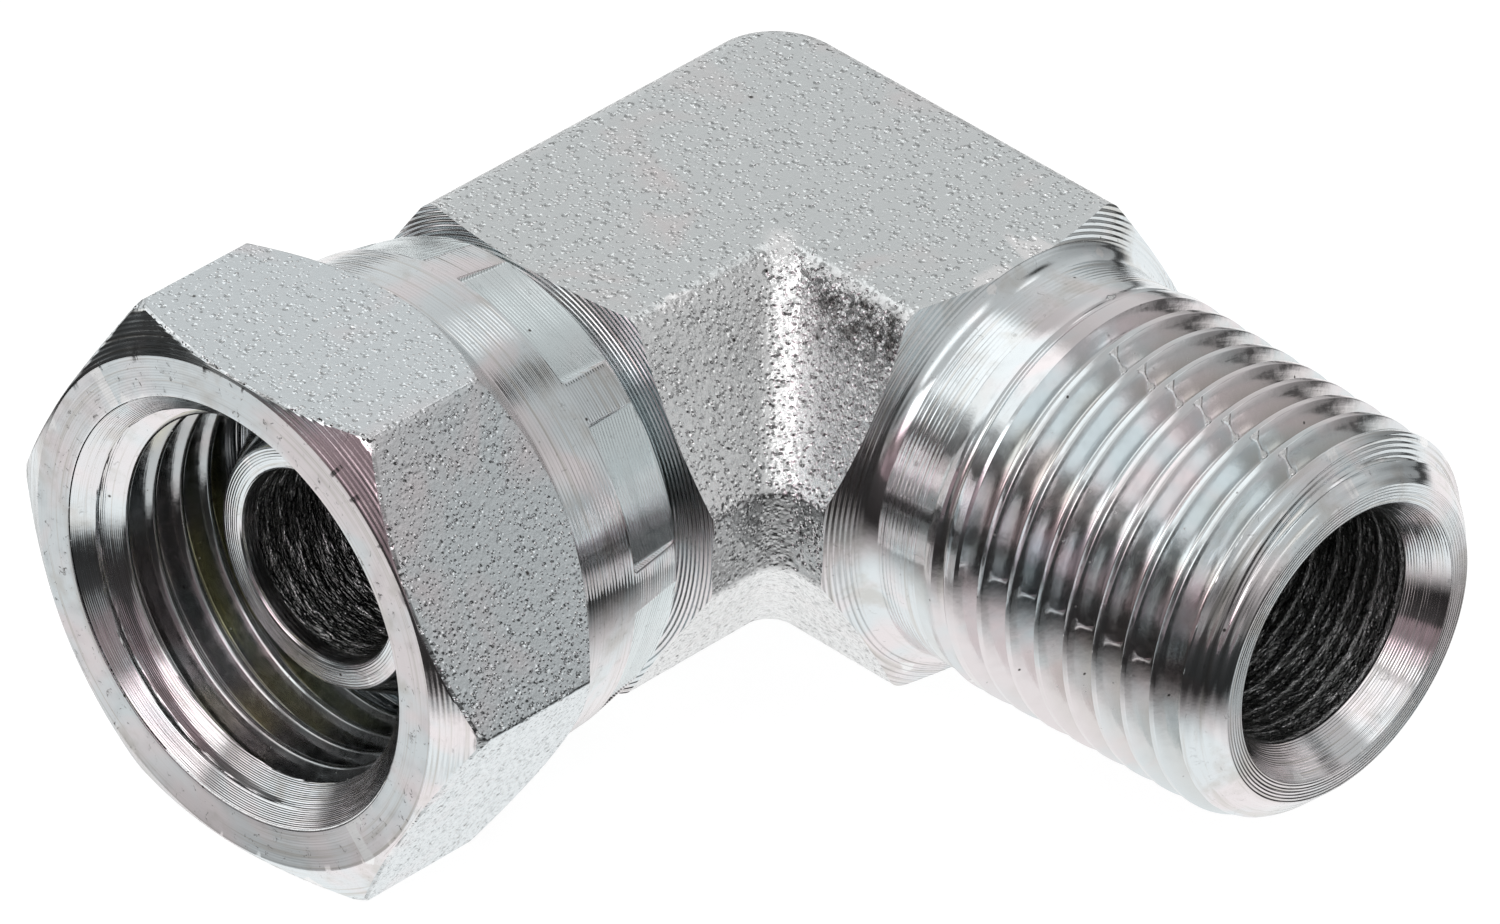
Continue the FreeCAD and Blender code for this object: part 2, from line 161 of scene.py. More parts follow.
class Shell:
    """Grids of points that are joined into one mesh object."""

    def __init__(self):
        self.points = []
        self.faces = []
        self.slots = []

    def grid(self, rows, slot, closed=True, flip=False):
        """Quads between rows of points. A closed grid joins each row's last point to its first."""
        first = len(self.points)
        count = len(rows[0])
        for row in rows:
            self.points.extend(tuple(point) for point in row)
        last = count if closed else count - 1
        for r in range(len(rows) - 1):
            for c in range(last):
                a = first + r * count + c
                b = first + r * count + (c + 1) % count
                face = (a, b, b + count, a + count)
                self.faces.append(face[::-1] if flip else face)
                self.slots.append(slot if isinstance(slot, int) else slot[r * last + c])

    def turned(self, place, profile, step, angles, slot, flip=False):
        """A profile turned round an axis, in rows no further apart than step."""
        self.grid([ring(place, s, r, angles) for s, r in spaced(profile, step)], slot, flip=flip)

    def build(self, name, materials, body):
        """Makes the mesh object and lets it ride on a body."""
        mesh = bpy.data.meshes.new(name)
        points = np.array(self.points) * MM
        mesh.from_pydata(points.tolist(), [], self.faces)
        for material in materials:
            mesh.materials.append(material)
        mesh.polygons.foreach_set("material_index", self.slots)
        mesh.polygons.foreach_set("use_smooth", [True] * len(self.faces))
        mesh.update()
        piece = bpy.data.objects.new(name, mesh)
        bpy.context.scene.collection.objects.link(piece)
        weld(mesh, WELD_DISTANCE * MM)
        mesh.set_sharp_from_angle(angle=math.radians(SHARP_ANGLE))
        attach(piece, body)
        return piece


def weld(mesh, distance):
    """Joins points that meet and drops the faces that this flattens."""
    work = bmesh.new()
    work.from_mesh(mesh)
    bmesh.ops.remove_doubles(work, verts=work.verts, dist=distance)
    bmesh.ops.dissolve_degenerate(work, dist=distance / 10, edges=work.edges)
    work.to_mesh(mesh)
    work.free()


def along_x(station, radius, angle):
    """A point of a form turned about the male leg. The angle runs from +Y towards +Z."""
    return (station, radius * math.cos(angle), radius * math.sin(angle))


def along_nut(station, radius, angle):
    """A point of a form turned about the nut leg. The angle runs from +X towards +Z."""
    return (radius * math.cos(angle), -station, radius * math.sin(angle))


def direction(azimuth, elevation):
    """Unit vector away from the object. Azimuth 0 looks along -Y and 90 along +X."""
    a = math.radians(azimuth)
    e = math.radians(elevation)
    return Vector((math.sin(a) * math.cos(e), -math.cos(a) * math.cos(e), math.sin(e)))


def turns(count):
    """Even angles round a full turn."""
    return [2 * math.pi * i / count for i in range(count)]


def ring(place, station, radius, angles):
    """Points round an axis at one station and radius."""
    return [place(station, radius, angle) for angle in angles]


def eased(value, low, high):
    """0 below low, 1 above high, smooth between."""
    t = min(max((value - low) / (high - low), 0.0), 1.0)
    return t * t * (3 - 2 * t)


def rounded(profile, radii, steps=4):
    """A profile of (station, radius) corners, with arcs at the corners whose entry in radii isn't 0."""
    points = [Vector(p) for p in profile]
    out = []
    for i, corner in enumerate(points):
        size = radii[i]
        if not size:
            out.append(tuple(corner))
            continue
        into = (corner - points[i - 1]).normalized()
        onward = (points[i + 1] - corner).normalized()
        half_turn = into.angle(onward) / 2
        setback = size * math.tan(half_turn)
        start = corner - into * setback
        end = corner + onward * setback
        bisector = (onward - into).normalized()
        centre = corner + bisector * (size / math.cos(half_turn))
        for k in range(steps + 1):
            arm = (start - centre).slerp(end - centre, k / steps).normalized()
            out.append(tuple(centre + arm * size))
    return out


def spaced(profile, step):
    """The profile with points added so that no stretch is longer than step."""
    out = [profile[0]]
    for a, b in zip(profile, profile[1:]):
        parts = max(1, math.ceil(math.hypot(b[0] - a[0], b[1] - a[1]) / step))
        for k in range(1, parts + 1):
            out.append((a[0] + (b[0] - a[0]) * k / parts, a[1] + (b[1] - a[1]) * k / parts))
    return out


def thread_drop(phase):
    """Depth of the thread form below its crest, where phase counts pitches from a crest."""
    along = abs((phase + 0.5) % 1.0 - 0.5) * PITCH
    if along < CREST_FLAT:
        return 0.0
    if along < CREST_END:
        return CREST_ROUND - math.sqrt(CREST_ROUND ** 2 - (along - CREST_FLAT) ** 2)
    from_root = PITCH / 2 - along
    if from_root < ROOT_END:
        return THREAD_DEPTH - THREAD_ROUND + math.sqrt(THREAD_ROUND ** 2 - from_root ** 2)
    crest_drop = CREST_ROUND * (1 - math.sin(HALF_FLANK))
    return crest_drop + (along - CREST_END) / math.tan(HALF_FLANK)


# Phases at which each turn of thread is sampled: close together on crests and roots
FLANK = PITCH / 2 - CREST_END - ROOT_END
HALF_TURN = (
    [0.0, CREST_FLAT]
    + [CREST_FLAT + (CREST_END - CREST_FLAT) * k / 3 for k in (1, 2, 3)]
    + [CREST_END + FLANK * k / 3 for k in (1, 2, 3)]
    + [PITCH / 2 - ROOT_END * k / 3 for k in (2, 1, 0)]
)
PHASES = [along / PITCH for along in HALF_TURN] + [1 - along / PITCH for along in HALF_TURN[-2:0:-1]]


def threaded_rows(place, radius_at, crest_station, low, high, angles):
    """Rows that follow the thread from station low to high. Each row keeps its phase."""
    first = math.floor((low - crest_station) / PITCH) - 2
    last = math.ceil((high - crest_station) / PITCH) + 1
    lines = [turn + phase for turn in range(first, last + 1) for phase in PHASES]
    rows = []
    for line in lines:
        row = []
        for angle in angles + [2 * math.pi]:
            station = crest_station + PITCH * (line + angle / (2 * math.pi))
            station = min(max(station, low), high)
            row.append(place(station, radius_at(station, angle), angle))
        rows.append(row)
    return rows


def fine_rows(place, radius_at, start, end, step, angles):
    """Rows from start to end, close enough to show how a chamfer cuts a thread."""
    rows = []
    station = start
    while station < end:
        rows.append([place(station, radius_at(station, a), a) for a in angles])
        station += step
    return rows


# Materials: zinc plated steel, all from the same few building blocks
PLATE_COOL = (0.76, 0.81, 0.83)
PLATE_WARM = (0.84, 0.79, 0.80)
PLATE_STAIN = (0.58, 0.56, 0.52)
PLATE_TEAL = (0.76, 0.84, 0.85)
YELLOW_PLATE = (0.86, 0.82, 0.50)
# Bare steel of worn edges and crests, also painted on as glints on bumps and bore rings.
BARE_STEEL_AND_GLINT = (0.90, 0.90, 0.90)
# Painted highlight for the block's inner valley.
PAINTED_HIGHLIGHT_STEEL = (1.0, 1.0, 1.0)
# Painted shade for the block's band and shaded inner wall.
PAINTED_SHADE_STEEL = (0.38, 0.385, 0.39)
# Dark steel of the bores, also painted shade in the bores and threads.
BORE_STEEL_AND_SHADE = (0.17, 0.175, 0.17)
# Soot for specks, marks and dark edge patches, also painted shade in creases and under the block's top edge.
SOOT_AND_SHADE = (0.10, 0.095, 0.09)
DUST = (0.75, 0.75, 0.74)
# Relief of the hammered walls, in millimetres
WALL_MM = 0.075
# How much a lathe cut's run grows with radius, so that lines show on faces, cones and cylinders alike
RUN_PER_RADIUS = 1.7
# Where the block's zones fade in, in millimetres: heights, and distances from the plane between the legs
# The valley zone carries a painted highlight; the shaded wall and the zone under the top edge carry painted
# shade.
ABOVE_BAND = (2.0, 4.0)
INNER_SIDE = (12.0, 14.0)
VALLEY = (1.7, 0.0)
SHADED_WALL = (1.0, 3.0)
EDGE_SHADE_SIDE = (1.0, 3.5)
EDGE_SHADE_FOOT = (7.4, 9.4)
EDGE_SHADE_TOP = (10.9, 10.4)


class Tree:
    """Adds nodes to the node tree of a material or a world and links them."""

    def __init__(self, owner):
        owner.use_nodes = True
        self.tree = owner.node_tree

    def add(self, kind, inputs, **settings):
        """A node with its inputs linked or set."""
        node = self.tree.nodes.new("ShaderNode" + kind)
        for key, value in settings.items():
            setattr(node, key, value)
        for name, value in inputs.items():
            self.feed(node.inputs[name], value)
        return node

    def feed(self, socket, value):
        if isinstance(value, bpy.types.NodeSocket):
            self.tree.links.new(value, socket)
        else:
            socket.default_value = value

    def math(self, operation, *values):
        return self.add("Math", dict(enumerate(values)), operation=operation).outputs[0]

    def reach(self, vector, axis):
        """How far a vector reaches along an axis."""
        return self.add("VectorMath", {0: vector, 1: axis}, operation="DOT_PRODUCT").outputs["Value"]

    def remap(self, value, low, high, to_low=0.0, to_high=1.0):
        """A smooth step from to_low at low to to_high at high."""
        inputs = {"Value": value, "From Min": low, "From Max": high, "To Min": to_low, "To Max": to_high}
        return self.add("MapRange", inputs, interpolation_type="SMOOTHSTEP").outputs["Result"]

    def blend(self, share, first, second):
        """Colour between first at share 0 and second at share 1."""
        node = self.add("Mix", {0: share}, data_type="RGBA")
        for index, colour in ((6, first), (7, second)):
            self.feed(node.inputs[index], (*colour, 1) if isinstance(colour, tuple) else colour)
        return node.outputs[2]


class Nodes(Tree):
    """The nodes of one metal."""

    def __init__(self, name):
        self.material = bpy.data.materials.new(name)
        super().__init__(self.material)
        self.shader = self.tree.nodes["Principled BSDF"]
        self.shader.inputs["Metallic"].default_value = 1.0

    def place(self):
        """The piece's own coordinates in millimetres."""
        own = self.add("TexCoord", {}).outputs["Object"]
        return self.add("VectorMath", {0: own, "Scale": 1 / MM}, operation="SCALE").outputs[0]

    def towards(self, azimuth):
        """How far a point lies in a level direction, in millimetres."""
        return self.reach(self.place(), direction(azimuth, 0))

    def noise(self, vector, scale, detail=2.0, roughness=0.5, distortion=0.0):
        inputs = {"Vector": vector, "Scale": scale, "Detail": detail, "Roughness": roughness}
        inputs["Distortion"] = distortion
        return self.add("TexNoise", inputs).outputs[0]

    def bump(self, *heights):
        """Normal from heights in millimetres, each given as (height 0 to 1, depth in millimetres)."""
        total = None
        for height, depth in heights:
            total = self.math("MULTIPLY_ADD", height, depth, 0.0 if total is None else total)
        return self.add("Bump", {"Height": total, "Distance": MM, "Strength": 1.0}).outputs[0]

    def around(self, axis):
        """Run of a lathe cut, which changes along every turned face, and the angle's cosine and sine."""
        x, y, z = self.add("SeparateXYZ", {0: self.place()}).outputs[:3]
        along, across = (x, y) if axis == "X" else (y, x)
        if axis == "Y":
            along = self.math("MULTIPLY", along, -1.0)
        squares = self.math("ADD", self.math("MULTIPLY", across, across), self.math("MULTIPLY", z, z))
        radius = self.math("MAXIMUM", self.math("SQRT", squares), 0.01)
        run = self.math("MULTIPLY_ADD", radius, RUN_PER_RADIUS, along)
        return run, self.math("DIVIDE", across, radius), self.math("DIVIDE", z, radius)

    def lathe_lines(self, around, fineness, drift, detail=2.0, roughness=0.6):
        """Height of fine lines that run round the axis and drift in and out along their length."""
        run, across, up = around
        vector = self.add("CombineXYZ", {
            0: self.math("MULTIPLY", run, fineness),
            1: self.math("MULTIPLY", across, drift),
            2: self.math("MULTIPLY", up, drift),
        }).outputs[0]
        return self.noise(vector, 1.0, detail, roughness)

    def feed_ridges(self, around, spacing):
        """Height of the even ridges that the tool's feed leaves, 0 to 1."""
        wave = self.math("SINE", self.math("MULTIPLY", around[0], 2 * math.pi / spacing))
        return self.math("MULTIPLY_ADD", wave, 0.5, 0.5)

    def edge_share(self, low, high):
        """1 on sharp outer edges, 0 on flat ground."""
        return self.remap(self.add("NewGeometry", {}).outputs["Pointiness"], low, high)

    def plate_colour(self, warm_low=0.42, warm_high=0.62):
        """Silver with soft drifts between a cool and a warm sheen."""
        drift = self.noise(self.place(), 0.16, 3.0, 0.55, 0.6)
        return self.blend(self.remap(drift, warm_low, warm_high), PLATE_COOL, PLATE_WARM)

    def specks(self, scale, rarity, size=0.13):
        """1 in small scattered spots."""
        cells = self.add("TexVoronoi", {"Vector": self.place(), "Scale": scale})
        chance = self.add("SeparateColor", {0: cells.outputs["Color"]}).outputs[0]
        near = self.remap(cells.outputs["Distance"], size, size * 0.4)
        return self.math("MULTIPLY", near, self.math("GREATER_THAN", chance, rarity))

    def dents(self, scale, spread, idle):
        """Scattered bumps and dents: 1 on the highest bump, -1 in the deepest dent. A share stays idle."""
        cells = self.add("TexVoronoi", {"Vector": self.place(), "Scale": scale})
        chance = self.add("SeparateColor", {0: cells.outputs["Color"]}).outputs[1]
        bump = self.remap(chance, 0.5 + idle / 2, 1.0)
        dent = self.remap(chance, 0.5 - idle / 2, 0.0)
        dome = self.remap(cells.outputs["Distance"], spread, 0.0)
        return self.math("MULTIPLY", dome, self.math("SUBTRACT", bump, dent))

    def block_zones(self):
        """Shares of the block's sloping walls and band, the valley's painted highlight, and painted shade on
        the inner wall and under its top edge.
        """
        upright = self.add("SeparateXYZ", {0: self.add("TexCoord", {}).outputs["Normal"]}).outputs[2]
        wall = self.remap(self.math("ABSOLUTE", upright), 0.995, 0.8)
        x, y, z = self.add("SeparateXYZ", {0: self.place()}).outputs[:3]
        # The band, which gets painted shade and a shallower hammering.
        band = self.remap(self.math("ABSOLUTE", z), BAND_HALF_HEIGHT + 0.5, BAND_HALF_HEIGHT - 0.3)
        inner = self.remap(self.math("SUBTRACT", x, y), *INNER_SIDE)
        to_male_side = self.math("ADD", x, y)
        above_band = self.math("MULTIPLY", self.remap(z, *ABOVE_BAND), inner)
        # Painted highlight along the inner valley between the legs.
        valley_highlight = self.remap(self.math("ABSOLUTE", to_male_side), *VALLEY, 0.0, above_band)
        # Painted shade on the inner wall on the male side.
        shaded = self.remap(to_male_side, *SHADED_WALL, 0.0, above_band)
        # Painted shade under the male side's top edge, broken up by noise.
        below_edge = self.math("MULTIPLY", self.remap(z, *EDGE_SHADE_FOOT), self.remap(z, *EDGE_SHADE_TOP))
        shade_under_edge = self.math("MULTIPLY", below_edge, self.remap(to_male_side, *EDGE_SHADE_SIDE, 0.0, inner))
        broken = self.remap(self.noise(self.place(), 1.3, 4.0, 0.7), 0.45, 0.58, 0.0, 0.85)
        return wall, band, valley_highlight, shaded, self.math("MULTIPLY", shade_under_edge, broken)

    def set_turned(self, axis, share):
        """Stretches the gloss across the lathe lines of a form turned about the axis."""
        self.shader.inputs["Anisotropic"].default_value = share
        self.shader.inputs["Anisotropic Rotation"].default_value = 0.25
        tangent = self.add("Tangent", {}, direction_type="RADIAL", axis=axis).outputs[0]
        self.feed(self.shader.inputs["Tangent"], tangent)

    def finish(self, colour, roughness, normal):
        """Feeds the shader and gives the finished material."""
        self.feed(self.shader.inputs["Base Color"], colour)
        self.feed(self.shader.inputs["Roughness"], roughness)
        self.feed(self.shader.inputs["Normal"], normal)
        return self.material


def blasted_metal(name, scale, depth_mm, shade, dark_edges, walls=False):
    """Shot blasted skin under the plating: dents, worn edges, painted dent shade and glints. Walls add the
    hammered sides and painted zones.
    """
    nodes = Nodes(name)
    large = nodes.dents(scale, 0.5, 0.3)
    small = nodes.dents(scale * 1.9, 0.55, 0.1)
    fine = nodes.noise(nodes.place(), 4.0, 3.0, 0.6)
    heights = [(large, depth_mm), (small, depth_mm * 0.6), (fine, 0.014)]
    # Painted shade: the deep dents are painted a little darker.
    hollow = nodes.remap(large, -0.3, -0.8, 0.0, 0.25)
    # Painted glints: the tops of the small bumps are painted bare steel.
    bright = nodes.remap(small, 0.2, 0.6)
    stain_and_dent_shade = nodes.math("MAXIMUM", hollow, shade)
    colour = nodes.blend(stain_and_dent_shade, nodes.plate_colour(0.5, 0.8), PLATE_STAIN)
    colour = nodes.blend(bright, colour, BARE_STEEL_AND_GLINT)
    if walls:
        wall, band, valley_highlight, shaded, shade_under_edge = nodes.block_zones()
        swells = nodes.noise(nodes.place(), 1.7, 3.0, 0.6)
        hammered = nodes.math("ADD", nodes.dents(3.2, 0.62, 0.0), swells)
        heights.append((nodes.math("MULTIPLY", hammered, wall), WALL_MM))
        heights.append((nodes.math("MULTIPLY", hammered, band), -0.6 * WALL_MM))
        colour = nodes.blend(nodes.math("MULTIPLY", wall, 0.7), colour, BARE_STEEL_AND_GLINT)
        # Painted shade: the band and the shaded inner wall are painted duller steel.
        band_and_wall_shade = nodes.math("MAXIMUM", band, nodes.math("MULTIPLY", shaded, wall))
        colour = nodes.blend(nodes.math("MULTIPLY", band_and_wall_shade, 0.55), colour, PAINTED_SHADE_STEEL)
        # Painted highlight in the valley.
        colour = nodes.blend(valley_highlight, colour, PAINTED_HIGHLIGHT_STEEL)
        # Painted shade under the top edge.
        colour = nodes.blend(shade_under_edge, colour, SOOT_AND_SHADE)
    # Worn edges are bare steel, turning dark in noise patches on the hexagon.
    edge = nodes.edge_share(0.51, 0.57)
    dark_edge = nodes.remap(nodes.noise(nodes.place(), 0.9, 4.0, 0.7), 0.42, 0.52, 0.0, dark_edges)
    colour = nodes.blend(edge, colour, nodes.blend(dark_edge, BARE_STEEL_AND_GLINT, SOOT_AND_SHADE))
    colour = nodes.blend(nodes.specks(0.8, 0.93), colour, SOOT_AND_SHADE)
    roughness = nodes.math("MULTIPLY_ADD", bright, -0.08, nodes.remap(fine, 0.35, 0.65, 0.28, 0.18))
    return nodes.finish(colour, roughness, nodes.bump(*heights))


def turned_metal(
    name, axis, roughness=0.12, line_mm=0.012, ridge_mm=0.009, ridge_spacing=0.24,
    tint=PLATE_STAIN, tinted=0.0, stretch=0.8, marked=0.3,
):
    """Lathe turned and plated: lines round the axis, stretched gloss, dark specks and marks, and painted shade
    in the corners.
    """
    nodes = Nodes(name)
    nodes.set_turned(axis, stretch)
    around = nodes.around(axis)
    lines = nodes.lathe_lines(around, 3.6, 1.0, 3.0)
    broad = nodes.lathe_lines(around, 1.1, 0.8)
    even = nodes.feed_ridges(around, ridge_spacing)
    ridges = nodes.math("MULTIPLY", even, nodes.remap(broad, 0.35, 0.6, 0.6, 1.0))
    scuffs = nodes.noise(nodes.place(), 1.1, 4.0, 0.65)
    smudges = nodes.noise(nodes.place(), 0.35, 4.0, 0.6)
    normal = nodes.bump((lines, line_mm), (broad, line_mm * 1.5), (ridges, ridge_mm), (scuffs, 0.004))
    share = nodes.math("MAXIMUM", nodes.remap(lines, 0.5, 0.3, 0.0, 0.7), tinted)
    share = nodes.math("MAXIMUM", share, nodes.remap(smudges, 0.52, 0.7, 0.0, 0.6))
    colour = nodes.blend(share, nodes.plate_colour(), tint)
    colour = nodes.blend(nodes.edge_share(0.54, 0.6), colour, BARE_STEEL_AND_GLINT)
    marks = nodes.remap(nodes.noise(nodes.place(), 2.2, 4.0, 0.75, 0.8), 0.6, 0.7, 0.0, marked)
    # Dark specks and marks, and painted shade in the inner creases.
    dirt_and_crease_shade = nodes.math("MAXIMUM", nodes.specks(1.1, 0.94), nodes.edge_share(0.46, 0.38))
    dirt_and_crease_shade = nodes.math("MAXIMUM", dirt_and_crease_shade, marks)
    colour = nodes.blend(dirt_and_crease_shade, colour, SOOT_AND_SHADE)
    worn = nodes.remap(scuffs, 0.45, 0.75, roughness, roughness + 0.08)
    return nodes.finish(colour, worn, normal)


def threaded_metal(name, axis, sheen, burr_mm, oil_and_shade):
    """Cut thread: bright ragged crests, smooth dusty flanks, patches of sheen and a darker base of oil film and
    painted shade.
    """
    nodes = Nodes(name)
    nodes.set_turned(axis, 0.7)
    around = nodes.around(axis)
    lines = nodes.lathe_lines(around, 3.5, 2.0)
    torn = nodes.noise(nodes.place(), 1.6, 4.0, 0.6)
    patches = nodes.remap(nodes.noise(nodes.place(), 0.13, 2.0), 0.42, 0.54)
    pointed = nodes.add("NewGeometry", {}).outputs["Pointiness"]
    crest = nodes.remap(pointed, 0.55, 0.62)
    burrs = nodes.math("MULTIPLY", nodes.noise(nodes.place(), 3.6, 3.0, 0.65), crest)
    normal = nodes.bump((lines, 0.006), (torn, 0.008), (burrs, burr_mm))
    # Darker base: a film of oil, and inside the nut painted shade.
    colour = nodes.blend(oil_and_shade, nodes.plate_colour(), BORE_STEEL_AND_SHADE)
    hollow = nodes.math("MULTIPLY", nodes.remap(pointed, 0.53, 0.46, 0.0, 0.8), patches)
    colour = nodes.blend(hollow, colour, sheen)
    colour = nodes.blend(crest, colour, BARE_STEEL_AND_GLINT)
    colour = nodes.blend(nodes.specks(1.3, 0.93), colour, SOOT_AND_SHADE)
    dust = nodes.specks(2.2, 0.92, 0.16)
    colour = nodes.blend(dust, colour, DUST)
    dull_roots = nodes.remap(pointed, 0.5, 0.43, 0.0, 0.34)
    roughness = nodes.math("MAXIMUM", nodes.remap(torn, 0.4, 0.7, 0.12, 0.22), dull_roots)
    roughness = nodes.math("MULTIPLY_ADD", dust, 0.4, roughness)
    return nodes.finish(colour, roughness, normal)


def bore_metal(name, axis, helix_mm, ring_mm, fineness, drift):
    """Drilled bore: dark steel, partly painted shade, with deep broken rings that catch the light and painted
    glints.
    """
    nodes = Nodes(name)
    around = nodes.around(axis)
    rings = nodes.lathe_lines(around, fineness, drift, 3.0, 0.7)
    helix = nodes.math("POWER", nodes.feed_ridges(around, 1.35), 6.0)
    grain = nodes.noise(nodes.place(), 5.0, 3.0, 0.65)
    glints = nodes.dents(4.5, 0.5, 0.2)
    normal = nodes.bump((rings, ring_mm), (helix, helix_mm), (grain, 0.10), (glints, 0.05))
    # Painted glints: ring peaks, helix and bumps are painted bare steel.
    light = nodes.math("MAXIMUM", nodes.remap(rings, 0.5, 0.64), nodes.math("MULTIPLY", helix, helix_mm * 6))
    light = nodes.math("MAXIMUM", light, nodes.remap(glints, 0.4, 0.7))
    colour = nodes.blend(light, BORE_STEEL_AND_SHADE, BARE_STEEL_AND_GLINT)
    return nodes.finish(colour, nodes.remap(grain, 0.3, 0.7, 0.22, 0.42), normal)


forged = blasted_metal("forged_plate", scale=2.3, depth_mm=0.15, shade=0.25, dark_edges=0.0, walls=True)
hexagon = blasted_metal("hexagon_plate", scale=2.5, depth_mm=0.11, shade=0.0, dark_edges=0.85)
turned_x = turned_metal("turned_plate_male", "X")
turned_y = turned_metal("turned_plate_nut", "Y")
shoulder_x = turned_metal("shoulder_plate_male", "X", ridge_mm=0.036, ridge_spacing=0.32)
shoulder_y = turned_metal("shoulder_plate_nut", "Y", ridge_mm=0.045, ridge_spacing=0.3)
chamfer_x = turned_metal(
    "chamfer_plate_male", "X", roughness=0.14, line_mm=0.03, ridge_mm=0.03, ridge_spacing=0.28)
seat_x = turned_metal("seat_plate_male", "X", ridge_mm=0.007)
face_y = turned_metal(
    "face_plate_nut", "Y", roughness=0.33, line_mm=0.005, ridge_mm=0.0015, stretch=0.0, marked=0.9)
mouth_y = turned_metal("mouth_plate_nut", "Y", ridge_mm=0.006, ridge_spacing=0.2, stretch=0.5)
pad_y = turned_metal(
    "pad_plate_nut", "Y", roughness=0.18, line_mm=0.016, ridge_mm=0.018, tint=PLATE_TEAL, tinted=0.8)
thread_x = threaded_metal("thread_plate_male", "X", sheen=PLATE_STAIN, burr_mm=0.09, oil_and_shade=0.08)
thread_y = threaded_metal("thread_plate_nut", "Y", sheen=YELLOW_PLATE, burr_mm=0.0, oil_and_shade=0.5)
bore_x = bore_metal("bore_steel_male", "X", helix_mm=0.07, ring_mm=0.16, fineness=3.4, drift=5.0)
bore_y = bore_metal("bore_steel_nut", "Y", helix_mm=0.01, ring_mm=0.45, fineness=2.2, drift=3.2)


# Forged block
# Steps of the plan as (part, share of it): along the male leg, round the corner, along the nut leg
PLAN_STEPS = (
    [(0, k / 12) for k in range(12)]
    + [(1, k / 16) for k in range(16)]
    + [(2, k / 12) for k in range(13)]
)
FLAT_LINES = 13
CONE_ROWS = 8


def section_profile():
    """A quarter of a leg's section as (half width, height), from the top flat's edge to mid height."""
    corners = [
        (FLAT_HALF_WIDTH, BLOCK_HALF_HEIGHT),
        (TOP_HALF_WIDTH, BLOCK_HALF_HEIGHT),
        (BAND_HALF_WIDTH, BAND_HALF_HEIGHT),
        (BAND_HALF_WIDTH, 0.0),
    ]
    return spaced(rounded(corners, [0, TOP_EDGE_ROUND, BAND_EDGE_ROUND, 0], steps=6), 0.9)


def male_cut(distance):
    """Station at which the turned male shoulder cuts the block, at a distance from the leg's axis."""
    return MALE_SHOULDER - (distance - BLOCK_HALF_HEIGHT) * TAN[25]


def nut_cut(distance):
    """The same for the turned shoulder on the nut leg."""
    return NUT_SHOULDER - (distance - BLOCK_HALF_HEIGHT) * TAN[17]


def side_plan(side, width, distance):
    """Plan of the legs' outer or inner side at one half width, ending on the cuts at one distance."""
    male_end = male_cut(distance)
    nut_end = nut_cut(distance)
    if side == "outer":
        centre, radius, offset = -OUTER_ARC_CENTRE, max(width - OUTER_ARC_CENTRE, 0.02), width
    else:
        centre, radius, offset = width + INNER_CORNER, INNER_CORNER, -width
    points = []
    for part, share in PLAN_STEPS:
        angle = math.pi / 2 * (1 + share)
        if part == 0:
            points.append((male_end + share * (centre - male_end), offset))
        elif part == 1:
            points.append((centre + radius * math.cos(angle), -centre + radius * math.sin(angle)))
        else:
            points.append((-offset, -centre + share * (centre - nut_end)))
    return points


def block_line(side, width, height):
    """A line along one side of both legs, at one half width and height."""
    return [(x, y, height) for x, y in side_plan(side, width, math.hypot(width, height))]


def flat_lines(height):
    """Lines across the flat top or bottom, between the outer and the inner side's first lines."""
    lines = []
    for k in range(1, FLAT_LINES):
        s = k / FLAT_LINES
        distance = math.hypot(FLAT_HALF_WIDTH * (1 - 2 * s), height)
        outer = side_plan("outer", FLAT_HALF_WIDTH, distance)
        inner = side_plan("inner", FLAT_HALF_WIDTH, distance)
        lines.append([
            (o[0] + (i[0] - o[0]) * s, o[1] + (i[1] - o[1]) * s, height)
            for o, i in zip(outer, inner)
        ])
    return lines


def shoulder_rows(edge, leg, neck_radius):
    """Rows of a turned shoulder's cone, from the block's cut edge in to the leg."""
    rows = [edge]
    for k in range(1, CONE_ROWS + 1):
        row = []
        for x, y, z in edge:
            lateral = y if leg == "male" else x
            distance = math.hypot(lateral, z)
            radius = distance + (neck_radius - distance) * k / CONE_ROWS
            across = lateral / distance * radius
            up = z / distance * radius
            row.append((male_cut(radius), across, up) if leg == "male" else (across, -nut_cut(radius), up))
        rows.append(row)
    return rows


def forged_block():
    """The block of both legs, with the two turned shoulders."""
    quarter = section_profile()
    upper_outer = [block_line("outer", w, h) for w, h in quarter]
    lower_outer = [block_line("outer", w, -h) for w, h in quarter[:-1]]
    upper_inner = [block_line("inner", w, h) for w, h in quarter]
    lower_inner = [block_line("inner", w, -h) for w, h in quarter[:-1]]
    lines = (
        upper_outer[::-1]
        + flat_lines(BLOCK_HALF_HEIGHT)
        + upper_inner
        + lower_inner[::-1]
        + flat_lines(-BLOCK_HALF_HEIGHT)[::-1]
        + lower_outer
    )
    forged_slot, male_slot, nut_slot = range(3)
    shell = Shell()
    rows = [[line[c] for line in lines] for c in range(len(PLAN_STEPS))]
    shell.grid(rows, forged_slot, flip=True)
    shell.grid(shoulder_rows(rows[0], "male", MALE_FLARE_RADIUS), male_slot)
    shell.grid(shoulder_rows(rows[-1], "nut", SPIGOT_NECK_RADIUS), nut_slot, flip=True)
    return shell.build("forged_block", [forged, shoulder_x, shoulder_y], "elbow")


# Male leg
def male_blank(station):
    """Crest radius along the male leg: the neck, then the taper."""
    taper = MALE_END_RADIUS + (MALE_REACH - station) * HALF_TAPER
    return MALE_NECK_RADIUS + (taper - MALE_NECK_RADIUS) * eased(station, *SWELL)


